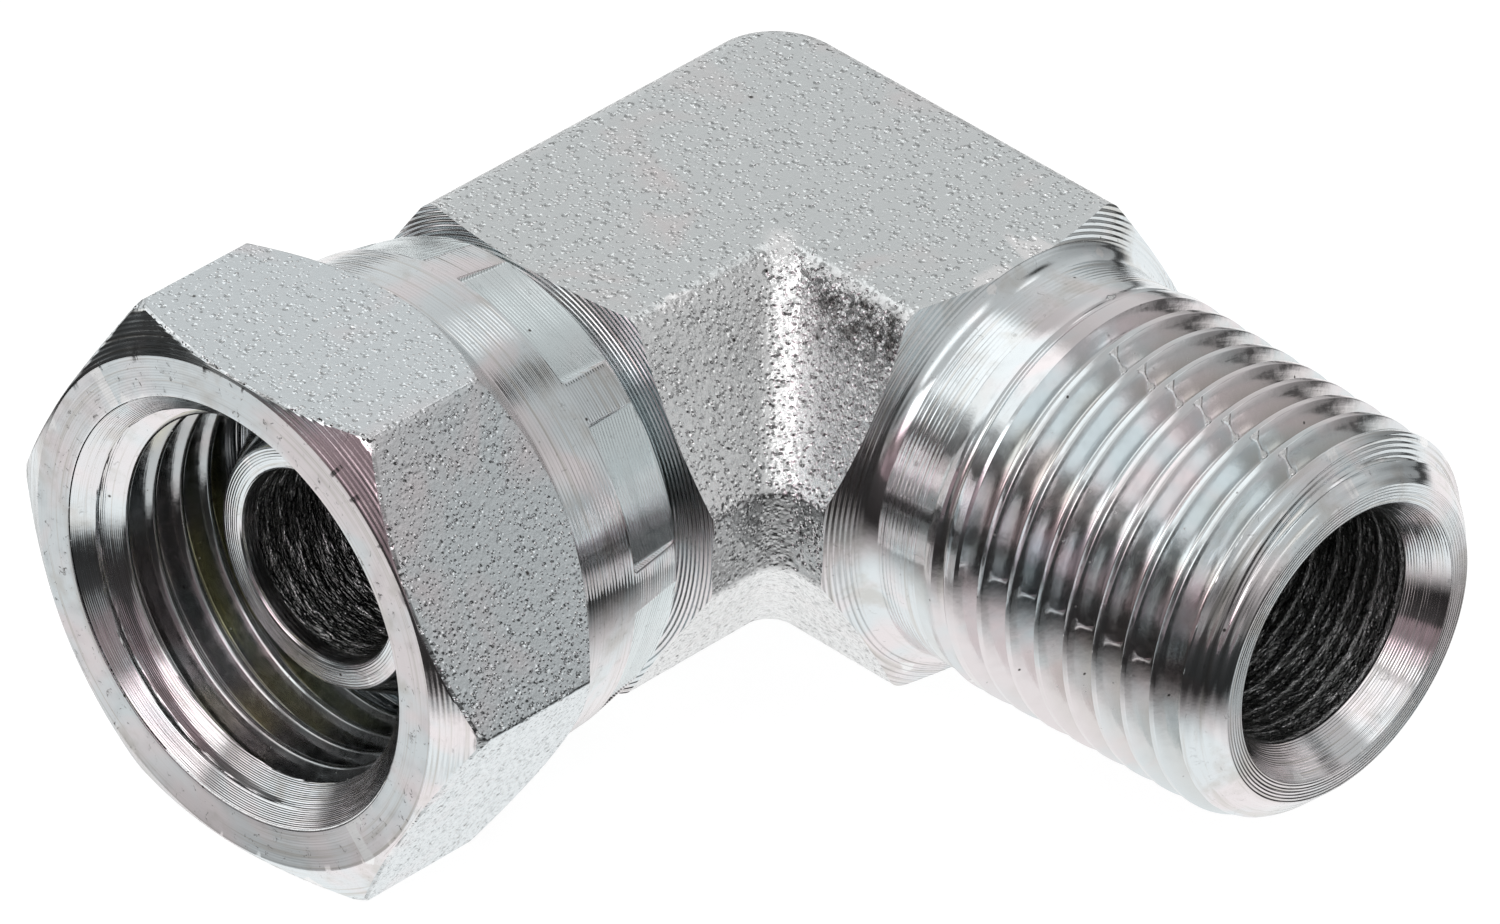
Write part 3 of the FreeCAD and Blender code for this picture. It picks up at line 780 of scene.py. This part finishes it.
def male_radius(station, angle):
    """Radius of the male thread, which runs out at the neck and is cut by the end chamfer."""
    phase = (station - MALE_CREST_STATION) / PITCH - angle / (2 * math.pi)
    depth = thread_drop(phase) - THREAD_DEPTH * (1 - eased(station, *RUN_OUT))
    radius = male_blank(station) - max(depth, 0.0)
    return min(radius, END_FACE_RADIUS + (MALE_REACH - station))


def male_neck():
    """Profile of the neck, which starts on the shoulder's cone."""
    lead_start = MALE_FLARE_STATION - 0.3
    profile = rounded(
        [
            (lead_start, MALE_FLARE_RADIUS + 0.64),
            (MALE_NECK_START, MALE_NECK_RADIUS),
            (MALE_NECK_END, MALE_NECK_RADIUS),
        ],
        [0, MALE_NECK_FILLET, 0], steps=8,
    )
    return [point for point in profile if point[0] >= lead_start + 0.1]


def male_end():
    """Profile of the end face, the seat and the start of the bore."""
    profile = rounded(
        [
            (MALE_REACH - 0.5, END_FACE_RADIUS + 0.5),
            (MALE_REACH, END_FACE_RADIUS),
            (MALE_REACH, SEAT_MOUTH_RADIUS),
            (SEAT_BOTTOM, MALE_BORE_RADIUS),
            (SEAT_BOTTOM - 0.1, MALE_BORE_RADIUS),
        ],
        [0, 0.14, 0.1, 0.1, 0], steps=4,
    )
    return [point for point in profile if point[0] > MALE_REACH - 0.07 or point[1] < END_FACE_RADIUS - 0.2]


def male_leg():
    """Neck, taper thread, chamfered end, seat and bore of the male leg."""
    neck_slot, thread_slot, end_slot, bore_slot, seat_slot = range(5)
    angles = turns(MALE_COLUMNS)
    shell = Shell()
    shell.turned(along_x, male_neck(), 0.6, angles, neck_slot)
    thread = threaded_rows(along_x, male_radius, MALE_CREST_STATION, MALE_NECK_END, CHAMFER_START, angles)
    shell.grid(thread, thread_slot, closed=False)
    chamfer = fine_rows(along_x, male_radius, CHAMFER_START, MALE_REACH - 0.06, 0.04, angles)
    shell.grid(chamfer, end_slot)
    end = male_end()
    face = [point for point in end if point[1] > SEAT_MOUTH_RADIUS - 0.05]
    seat = [point for point in end if point[1] <= face[-1][1]]
    shell.grid([chamfer[-1]] + [ring(along_x, s, r, angles) for s, r in spaced(face, 0.5)], end_slot)
    shell.turned(along_x, seat, 0.5, angles, seat_slot)
    bore = [end[-1], (MALE_BORE_END, MALE_BORE_RADIUS), (MALE_DRILL_TIP, 0.02)]
    shell.turned(along_x, bore, 0.3, angles, bore_slot)
    piece = shell.build("male_leg", [turned_x, thread_x, chamfer_x, bore_x, seat_x], "elbow")
    open_side_bore(piece.data)
    return piece


def open_side_bore(mesh):
    """Cuts the nut leg's bore through the male bore's wall, with its rim snapped to that bore's radius."""
    work = bmesh.new()
    work.from_mesh(mesh)
    radius = NUT_BORE_RADIUS * MM
    wall = MALE_BORE_RADIUS * MM + 1e-6
    inside = set()
    for vert in work.verts:
        x, y, z = vert.co
        if y < 0 and math.hypot(y, z) < wall and math.hypot(x, z) < radius:
            inside.add(vert)
    faces = [face for face in work.faces if all(vert in inside for vert in face.verts)]
    bmesh.ops.delete(work, geom=faces, context="FACES")
    for vert in work.verts:
        if vert in inside and vert.is_boundary:
            x, y, z = vert.co
            scale = radius / math.hypot(x, z)
            x, z = x * scale, z * scale
            vert.co = (x, -math.sqrt((MALE_BORE_RADIUS * MM) ** 2 - z * z), z)
    work.to_mesh(mesh)
    work.free()


# Spigot
BORE_ROWS = 40


def spigot():
    """The nut leg's neck and head, its coned nose and its bore, which ends on the male bore's wall."""
    turned_slot, bore_slot = range(2)
    angles = turns(NUT_LEG_COLUMNS)
    shell = Shell()
    cone_base = NOSE_REACH - (NOSE_BASE_RADIUS - NOSE_TIP_RADIUS) / TAN[30]
    outline = rounded(
        [
            (SPIGOT_NECK_STATION, SPIGOT_NECK_RADIUS),
            (HEAD_SLOPE_START, SPIGOT_NECK_RADIUS),
            (HEAD_START, HEAD_RADIUS),
            (HEAD_END, HEAD_RADIUS),
            (HEAD_END, NOSE_BASE_RADIUS),
            (cone_base, NOSE_BASE_RADIUS),
            (NOSE_REACH, NOSE_TIP_RADIUS),
            (NOSE_REACH, NUT_BORE_RADIUS),
            (NUT_BORE_START, NUT_BORE_RADIUS),
        ],
        [0, 0.2, 0.15, 0.3, 0.15, 0.2, 0.12, 0.25, 0], steps=4,
    )
    shell.turned(along_nut, outline, 0.6, angles, turned_slot)
    rows = []
    for k in range(BORE_ROWS + 1):
        row = []
        for angle in angles:
            z = NUT_BORE_RADIUS * math.sin(angle)
            end = math.sqrt(MALE_BORE_RADIUS ** 2 - z * z)
            station = NUT_BORE_START + (end - NUT_BORE_START) * k / BORE_ROWS
            row.append(along_nut(station, NUT_BORE_RADIUS, angle))
        rows.append(row)
    shell.grid(rows, bore_slot)
    return shell.build("spigot", [turned_y, bore_y], "elbow")


# Swivel nut
COLUMN_STEP = 1.5
CORNER_OFFSETS = (-0.62, -0.45, -0.3, -0.15, 0.0, 0.15, 0.3, 0.45, 0.62)
PAD_SIDE_OFFSETS = (-PAD_SIDE, -PAD_SIDE * 0.6, 0.0, PAD_SIDE * 0.6, PAD_SIDE)
CLOSEST_COLUMNS = 0.05
NUT_TURNED, NUT_FLATS, NUT_MOUTH, NUT_THREAD, NUT_PAD, NUT_FACE = range(6)


def nut_angles():
    """Columns round the nut: even steps, with more at the hexagon's corners and the pads' sides."""
    angles = set(round(COLUMN_STEP * k, 4) for k in range(int(360 / COLUMN_STEP)))
    for corner in range(6):
        for offset in CORNER_OFFSETS:
            angles.add(round((corner * 60 + offset) % 360, 4))
    for pad in range(PAD_COUNT):
        middle = PAD_MIDDLE + pad * 360 / PAD_COUNT
        for side in (-1, 1):
            for offset in PAD_SIDE_OFFSETS:
                angles.add(round((middle + side * (PAD_SPAN / 2 - offset)) % 360, 4))
    ordered = sorted(angles)
    kept = [ordered[0]]
    for angle in ordered[1:]:
        if angle - kept[-1] > CLOSEST_COLUMNS:
            kept.append(angle)
    return [math.radians(angle) for angle in kept]


def hex_radius(angle):
    """Distance from the axis to the hexagon's side, with rounded corners at 0, 60, 120 degrees and on."""
    from_flat = (math.degrees(angle) + 60) % 60 - 30
    from_corner = math.radians(30 - abs(from_flat))
    centre = (HALF_FLATS - HEX_CORNER_ROUND) / math.cos(math.radians(30))
    tangent = math.radians(30) - math.atan2(centre * math.sin(math.radians(30)), HALF_FLATS)
    if from_corner >= tangent:
        return HALF_FLATS / math.cos(math.radians(from_flat))
    half_chord = math.sqrt(HEX_CORNER_ROUND ** 2 - (centre * math.sin(from_corner)) ** 2)
    return centre * math.cos(from_corner) + half_chord


def from_pad_middle(angle):
    """Degrees between an angle and the nearest pad's middle."""
    step = 360 / PAD_COUNT
    return abs((math.degrees(angle) - PAD_MIDDLE + step / 2) % step - step / 2)


def pad_share(angle):
    """1 inside a pad, 0 on the lands between pads, with a short slope at the sides."""
    return 1 - eased(from_pad_middle(angle), PAD_SPAN / 2 - PAD_SIDE, PAD_SPAN / 2 + PAD_SIDE)


def pad_depth(station, angle):
    """Depth of the pressed pads: deeper at the front and, because they are nearly flat, in their middle."""
    back_share = (PAD_FRONT - station) / (PAD_FRONT - COLLAR_BACK)
    side = PAD_FRONT_DEPTH + (PAD_BACK_DEPTH - PAD_FRONT_DEPTH) * back_share
    offset = min(from_pad_middle(angle) / (PAD_SPAN / 2), 1.0)
    return (side + PAD_FLAT * (1 - offset ** 2)) * pad_share(angle)


def collar_slots(rows, angles):
    """The pads' slot for faces inside a pad, and the turned slot for all others."""
    inside = [pad_share(angle) > 0.5 for angle in angles]
    slots = []
    for row in rows[:-1]:
        station = -row[0][1]
        pad_here = station < PAD_FRONT - 0.05
        slots.extend(NUT_PAD if pad_here and here else NUT_TURNED for here in inside)
    return slots


def collar_radius(station):
    """Outside of the collar before the pads are pressed in."""
    if station > PAD_FRONT:
        low, high = PAD_FRONT, HEX_BACK_STATION
        low_radius, high_radius = PAD_FRONT_RADIUS, COLLAR_FRONT_RADIUS
    else:
        low, high = COLLAR_BACK, PAD_FRONT
        low_radius, high_radius = COLLAR_BACK_RADIUS, PAD_FRONT_RADIUS
    return low_radius + (station - low) * (high_radius - low_radius) / (high - low)


def nut_thread_radius(station, angle):
    """Radius of the nut's thread, cut open by the mouth's chamfer."""
    phase = (station - NUT_ROOT_STATION) / PITCH - angle / (2 * math.pi)
    radius = MAJOR_RADIUS - thread_drop(phase)
    return max(radius, MOUTH_RADIUS - (NUT_REACH - station))


# Rows of the hexagon's front cone and flats, as a share of their width less a number of worn strips
CONE_STEPS = [(0.0, 0.0), (0.3, 0.0), (0.6, 0.5), (1.0, 2.0), (1.0, 1.0)]
FLAT_STEPS = [
    (0.0, 1.0), (0.0, 2.0), (0.25, 0.5), (0.5, 0.0), (0.75, -0.5), (1.0, -2.0), (1.0, -1.0), (1.0, 0.0),
]
BACK_CONE_ROWS = 5
# Rows of the collar, close together at the pads' front edge, then the lip's outside as (station, radius)
COLLAR_STATIONS = (
    [HEX_BACK_STATION, 25.8, 25.2, 24.5, 23.8, 23.1, 22.6, 22.42, 22.36, 22.31, 22.26, 22.21, 22.16, 22.1]
    + [21.6, 21.0, 20.4, 19.8, 19.4, COLLAR_BACK]
)
PAD_FRONT_SLOPE = (22.14, 22.38)
LIP_OUTSIDE = (
    (19.0, 12.13), (18.85, 11.99), (18.75, 11.86),
    (LIP_STATION, 11.75), (LIP_STATION, 11.0), (LIP_STATION, 9.8),
)


def edge_wear(angle, side):
    """Width of the worn strip where the front cone meets a flat, wider at the hexagon's corners."""
    from_corner = abs((math.degrees(angle) + 30) % 60 - 30)
    width = EDGE_WEAR * (1 + 1.6 * (1 - eased(from_corner, 0.3, 1.6)))
    return min(width, 0.3 * (side - HEX_FRONT_RADIUS))


def nut_outside(shell, angles, sides):
    """The nut's face, the front cone, the flats with their worn edges and the cone behind them."""
    face = rounded(
        [(NUT_REACH - 1.0, MOUTH_RADIUS - 1.0), (NUT_REACH, MOUTH_RADIUS), (NUT_REACH, HEX_FRONT_RADIUS)],
        [0, 0.12, 0], steps=4,
    )[1:]
    shell.turned(along_nut, face, 0.4, angles, NUT_FACE, flip=True)
    cone = []
    wear = [edge_wear(angle, side) for angle, side in zip(angles, sides)]
    for share, strips in CONE_STEPS:
        row = []
        for angle, side, strip in zip(angles, sides, wear):
            radius = HEX_FRONT_RADIUS + (side - HEX_FRONT_RADIUS) * share - strip * strips
            row.append(along_nut(NUT_REACH - (radius - HEX_FRONT_RADIUS) * TAN[30], radius, angle))
        cone.append(row)
    shell.grid(cone, NUT_TURNED, flip=True)
    flats = [cone[-1]]
    for share, strips in FLAT_STEPS:
        row = []
        for angle, side, strip in zip(angles, sides, wear):
            front = NUT_REACH - (side - HEX_FRONT_RADIUS) * TAN[30]
            back = HEX_BACK_STATION + (side - HEX_BACK_RADIUS)
            row.append(along_nut(front + (back - front) * share - strip * strips, side, angle))
        flats.append(row)
    shell.grid(flats, NUT_FLATS, flip=True)
    back = []
    for k in range(BACK_CONE_ROWS + 1):
        row = []
        for angle, side in zip(angles, sides):
            radius = side + (HEX_BACK_RADIUS - side) * k / BACK_CONE_ROWS
            row.append(along_nut(HEX_BACK_STATION + (radius - HEX_BACK_RADIUS), radius, angle))
        back.append(row)
    shell.grid(back, NUT_TURNED, flip=True)


def nut_collar(shell, angles):
    """The tapered collar with its pressed pads, and the lip that is crimped in behind the spigot's head."""
    collar = [ring(along_nut, HEX_BACK_STATION, HEX_BACK_RADIUS, angles)]
    for station in COLLAR_STATIONS:
        pressed = 1 - eased(station, *PAD_FRONT_SLOPE)
        collar.append([
            along_nut(station, collar_radius(station) - pad_depth(station, angle) * pressed, angle)
            for angle in angles
        ])
    for station, radius in LIP_OUTSIDE:
        collar.append([
            along_nut(station, min(radius, COLLAR_BACK_RADIUS - pad_depth(COLLAR_BACK, angle)), angle)
            for angle in angles
        ])
    shell.grid(collar, collar_slots(collar, angles), flip=True)


def nut_inside(shell):
    """From the lip to the mouth: room for the spigot's head, relief, thread and the mouth's chamfer."""
    angles = turns(NUT_LEG_COLUMNS)
    inner = rounded(
        [
            LIP_OUTSIDE[-1],
            (LIP_STATION + 0.4, LIP_BORE_RADIUS),
            (HEAD_SLOPE_START + 0.27, LIP_BORE_RADIUS),
            (HEAD_SLOPE_START + 1.22, HEAD_ROOM_RADIUS),
            (HEX_BACK_STATION, HEAD_ROOM_RADIUS),
            (HEX_BACK_STATION, RELIEF_RADIUS),
            (NUT_THREAD_BACK, RELIEF_RADIUS),
            (NUT_THREAD_BACK, THREAD_BORE_RADIUS),
        ],
        [0, 0.1, 0.1, 0.1, 0.08, 0.2, 0.2, 0], steps=3,
    )
    shell.turned(along_nut, inner, 0.6, angles, NUT_MOUTH, flip=True)
    back = NUT_THREAD_BACK
    step = [ring(along_nut, back, RELIEF_RADIUS, angles), ring(along_nut, back, THREAD_BORE_RADIUS, angles)]
    step.append([along_nut(back, nut_thread_radius(back, a), a) for a in angles])
    shell.grid(step, NUT_THREAD, flip=True)
    thread = threaded_rows(along_nut, nut_thread_radius, NUT_ROOT_STATION, back, MOUTH_START, angles)
    shell.grid(thread, NUT_THREAD, closed=False, flip=True)
    mouth = fine_rows(along_nut, nut_thread_radius, MOUTH_START, NUT_REACH - 0.1, 0.05, angles)
    mouth.append(ring(along_nut, NUT_REACH - 0.085, MOUTH_RADIUS - 0.085, angles))
    shell.grid(mouth, NUT_MOUTH, flip=True)


def swivel_nut():
    """The hexagon nut with its crimped collar."""
    angles = nut_angles()
    shell = Shell()
    nut_outside(shell, angles, [hex_radius(angle) for angle in angles])
    nut_collar(shell, angles)
    nut_inside(shell)
    return shell.build("swivel_nut_shape", [turned_y, hexagon, mouth_y, thread_y, pad_y, face_y], "nut")


block = forged_block()
leg = male_leg()
nose = spigot()
nut = swivel_nut()
for piece in (block, leg, nose):
    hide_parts("elbow_body")
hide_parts("swivel_nut")


def wear_edges(piece):
    """Small bevels where the turned shoulders meet the forged walls."""
    modifier = piece.modifiers.new("edge_wear", "BEVEL")
    modifier.width = SHOULDER_EDGE_WEAR * MM
    modifier.segments = 2
    modifier.limit_method = "ANGLE"
    modifier.angle_limit = math.radians(SHOULDER_EDGE_ANGLE)
    modifier.harden_normals = True


wear_edges(block)


# Camera, fitted to the photograph: lengths in millimetres, angles in degrees, the focal length in pixels
PHOTO_WIDTH = 1500
PHOTO_HEIGHT = 924
CAMERA_AZIMUTH = 43.21
CAMERA_ELEVATION = 35.06
CAMERA_ROLL = math.radians(1.89)
CAMERA_DISTANCE = 771.61
CAMERA_TARGET = Vector((3.37, -4.0, -4.8))
FOCAL_PIXELS = 15903.73
CENTRE_PIXEL = (761.92, 454.29)
SENSOR = 36.0


def place_camera():
    """Sets the camera, turned by its roll, with the lens shifted to the photograph's centre."""
    back = direction(CAMERA_AZIMUTH, CAMERA_ELEVATION)
    turn = math.radians(CAMERA_AZIMUTH)
    level_right = Vector((math.cos(turn), math.sin(turn), 0))
    level_up = back.cross(level_right)
    right = level_right * math.cos(CAMERA_ROLL) + level_up * math.sin(CAMERA_ROLL)
    up = level_up * math.cos(CAMERA_ROLL) - level_right * math.sin(CAMERA_ROLL)
    camera_data = bpy.data.cameras.new("camera")
    camera = bpy.data.objects.new("camera", camera_data)
    bpy.context.scene.collection.objects.link(camera)
    place = (CAMERA_TARGET + back * CAMERA_DISTANCE) * MM
    axes = Matrix((right, up, back)).transposed()
    camera.matrix_world = Matrix.Translation(place) @ axes.to_4x4()
    camera_data.sensor_fit = "HORIZONTAL"
    camera_data.sensor_width = SENSOR
    camera_data.lens = FOCAL_PIXELS * SENSOR / PHOTO_WIDTH
    camera_data.shift_x = (PHOTO_WIDTH / 2 - CENTRE_PIXEL[0]) / PHOTO_WIDTH
    camera_data.shift_y = (CENTRE_PIXEL[1] - PHOTO_HEIGHT / 2) / PHOTO_WIDTH
    camera_data.clip_start = 0.01
    camera_data.clip_end = 20.0
    bpy.context.scene.camera = camera


place_camera()


# Stage: a white floor and the room that the metal mirrors
FLOOR_HALF = 3.0
FLOOR_COLOUR = (0.22, 0.22, 0.22)
FLOOR_GLOW = 0.92
# The floor as the metal mirrors it, a painted glow seen only in reflections: brightness from straight above,
# and of the areas behind and in front
MIRRORED_FLOOR = (0.0, 0.0, 0.0)
MIRRORED_GLOW = 0.98
BACK_GLOW = 1.0
BACK_AZIMUTH = -155
BACK_REACH = (-5.0, 20.0)
FRONT_GLOW = 1.0
FRONT_AZIMUTH = -20
FRONT_REACH = (30.0, 42.0)
# Levels of the room's walls as (azimuth, level) at three heights, which are sines of the elevation. They were
# typed in, guided by medians of the photo's brightness measured where the metal mirrors each direction.
LOW_WALL = (
    (-180, 0.36), (-150, 0.5), (-130, 0.8), (-105, 0.5), (-84, 0.25), (-72, 0.1), (-64, 0.02), (-50, 0.03),
    (-40, 0.3), (-30, 0.12), (-20, 0.45), (-8, 0.2), (14, 0.2), (30, 0.38), (40, 0.1), (48, 0.4), (60, 0.24),
    (72, 0.16), (80, 0.03), (94, 0.06), (103, 0.55), (112, 0.34), (124, 0.33), (138, 0.44), (147, 0.27),
    (180, 0.33),
)
MIDDLE_WALL = (
    (-180, 0.55), (-150, 0.7), (-130, 0.8), (-112, 0.65), (-72, 0.3), (-62, 0.1), (-50, 0.1), (-40, 0.1),
    (-22, 0.06), (-10, 0.22), (4, 0.4), (10, 0.5), (20, 0.16), (30, 0.12), (38, 0.5), (44, 0.4), (50, 0.03),
    (56, 0.1), (62, 0.42), (73, 0.5), (88, 0.66), (100, 0.55), (120, 0.6), (138, 0.72), (150, 0.45),
    (168, 0.4), (180, 0.5),
)
HIGH_WALL = (
    (-180, 0.58), (-140, 0.68), (-120, 0.62), (-50, 0.6), (-40, 0.3), (-10, 0.35), (0, 0.15), (10, 0.4),
    (20, 0.15), (32, 0.4), (60, 0.55), (70, 0.55), (90, 0.64), (120, 0.55), (180, 0.58),
)
WALLS = ((0.1, LOW_WALL), (0.31, MIDDLE_WALL), (0.64, HIGH_WALL))
CEILING = 0.58
CEILING_HEIGHT = 0.85
WHITE = (1.0, 1.0, 1.0)
FRONT_TINT = (1.0, 0.8, 0.86)
# Each soft box as the directions of its two ends, half its width in degrees and its brightness.
# The last one is a dark flag.
SOFT_BOXES = (
    ((-58, 62), (-95, 12), 22, 1.25),
    ((44, 40), (112, 66), 9, 1.4),
    ((-24, 43), (26, 28), 11, 2.2),
    ((-178, 56), (-150, 54), 6, 1.3),
    ((163, 38), (161, 52), 6, 0.0),
)
SOFT_EDGE = 0.08


def floor():
    """A level sheet under the object."""
    level = cad_box[0][2]
    mesh = bpy.data.meshes.new("floor")
    half = FLOOR_HALF
    corners = [(-half, -half, level), (half, -half, level), (half, half, level), (-half, half, level)]
    mesh.from_pydata(corners, [], [(0, 1, 2, 3)])
    piece = bpy.data.objects.new("floor", mesh)
    bpy.context.scene.collection.objects.link(piece)
    mesh.materials.append(floor_sheet())


def floor_sheet():
    """A lit white sheet that keeps the object's shadow, with an even glow for the camera and a painted glow in
    reflections, brightest from above.
    """
    nodes = Nodes("floor_sheet")
    nodes.shader.inputs["Metallic"].default_value = 0.0
    nodes.shader.inputs["Roughness"].default_value = 0.9
    nodes.shader.inputs["Emission Color"].default_value = (1, 1, 1, 1)
    path = nodes.add("LightPath", {})
    facing = nodes.add("LayerWeight", {"Blend": 0.5}).outputs["Facing"]
    from_above = nodes.remap(facing, 0.62, 0.2, 0.0, MIRRORED_GLOW)
    behind = nodes.remap(nodes.towards(BACK_AZIMUTH), *BACK_REACH, 0.0, BACK_GLOW)
    behind = nodes.math("MULTIPLY", behind, nodes.remap(facing, 0.93, 0.8))
    front = nodes.remap(nodes.towards(FRONT_AZIMUTH), *FRONT_REACH, 0.0, FRONT_GLOW)
    front = nodes.math("MULTIPLY", front, nodes.remap(facing, 0.6, 0.44))
    mirrored = nodes.math("MAXIMUM", from_above, nodes.math("MAXIMUM", behind, front))
    mirrored = nodes.math("MULTIPLY", mirrored, path.outputs["Is Glossy Ray"])
    matt = nodes.blend(path.outputs["Is Glossy Ray"], FLOOR_COLOUR, MIRRORED_FLOOR)
    nodes.feed(nodes.shader.inputs["Base Color"], matt)
    seen = nodes.math("MAXIMUM", path.outputs["Is Camera Ray"], path.outputs["Is Transmission Ray"])
    glow = nodes.math("ADD", nodes.math("MULTIPLY", seen, FLOOR_GLOW), mirrored)
    nodes.feed(nodes.shader.inputs["Emission Strength"], glow)
    return nodes.material


class Room(Tree):
    """The world's nodes: walls round the object by azimuth and height, a ceiling and soft boxes."""

    def __init__(self):
        self.world = bpy.data.worlds.new("studio")
        super().__init__(self.world)
        self.ray = self.add("TexCoord", {}).outputs["Generated"]

    def mix(self, share, first, second):
        """Level between first at share 0 and second at share 1."""
        return self.add("Mix", {0: share, 2: first, 3: second}).outputs[0]

    def wall(self, turn, levels):
        """Brightness along the turn, 0 to 1 from azimuth -180 to 180."""
        ramp = self.add("ValToRGB", {0: turn})
        stops = ramp.color_ramp.elements
        while len(stops) < len(levels):
            stops.new(0.5)
        for stop, (azimuth, level) in zip(stops, levels):
            stop.position = (azimuth + 180) / 360
            stop.color = (level, level, level, 1)
        return ramp.outputs["Color"]

    def within(self, axis, half_size):
        """1 where the ray is less than half_size along the axis, with a soft edge."""
        distance = self.math("ABSOLUTE", self.reach(self.ray, axis))
        return self.remap(distance, half_size + SOFT_EDGE, half_size - SOFT_EDGE)

    def soft_box(self, start, end, half_width):
        """1 inside a soft box that runs from one direction to another."""
        first = direction(*start)
        last = direction(*end)
        middle = (first + last).normalized()
        long_way = (first - last).normalized()
        along = self.within(long_way, math.sin(first.angle(last) / 2))
        across = self.within(middle.cross(long_way), math.sin(math.radians(half_width)))
        ahead = self.remap(self.reach(self.ray, middle), 0.0, 0.2)
        return self.math("MULTIPLY", self.math("MULTIPLY", along, across), ahead)


def surround():
    """Builds the room as the world's light."""
    room = Room()
    x, y, z = room.add("SeparateXYZ", {0: room.ray}).outputs[:3]
    turn = room.math("ARCTAN2", x, room.math("MULTIPLY", y, -1.0))
    turn = room.add("MapRange", {"Value": turn, "From Min": -math.pi, "From Max": math.pi}).outputs["Result"]
    heights = [height for height, _ in WALLS] + [CEILING_HEIGHT]
    level = room.wall(turn, WALLS[0][1])
    for low, high, (_, levels) in zip(heights, heights[1:], WALLS[1:]):
        level = room.mix(room.remap(z, low, high), level, room.wall(turn, levels))
    level = room.mix(room.remap(z, heights[-2], heights[-1]), level, CEILING)
    for start, end, half_width, radiance in SOFT_BOXES:
        level = room.mix(room.soft_box(start, end, half_width), level, radiance)
    ahead = room.remap(room.reach(room.ray, direction(5, 0)), 0.75, 0.9)
    background = room.tree.nodes["Background"]
    room.feed(background.inputs["Color"], room.blend(ahead, WHITE, FRONT_TINT))
    room.feed(background.inputs["Strength"], level)
    bpy.context.scene.world = room.world


floor()
surround()
bpy.context.scene.view_settings.view_transform = "Standard"
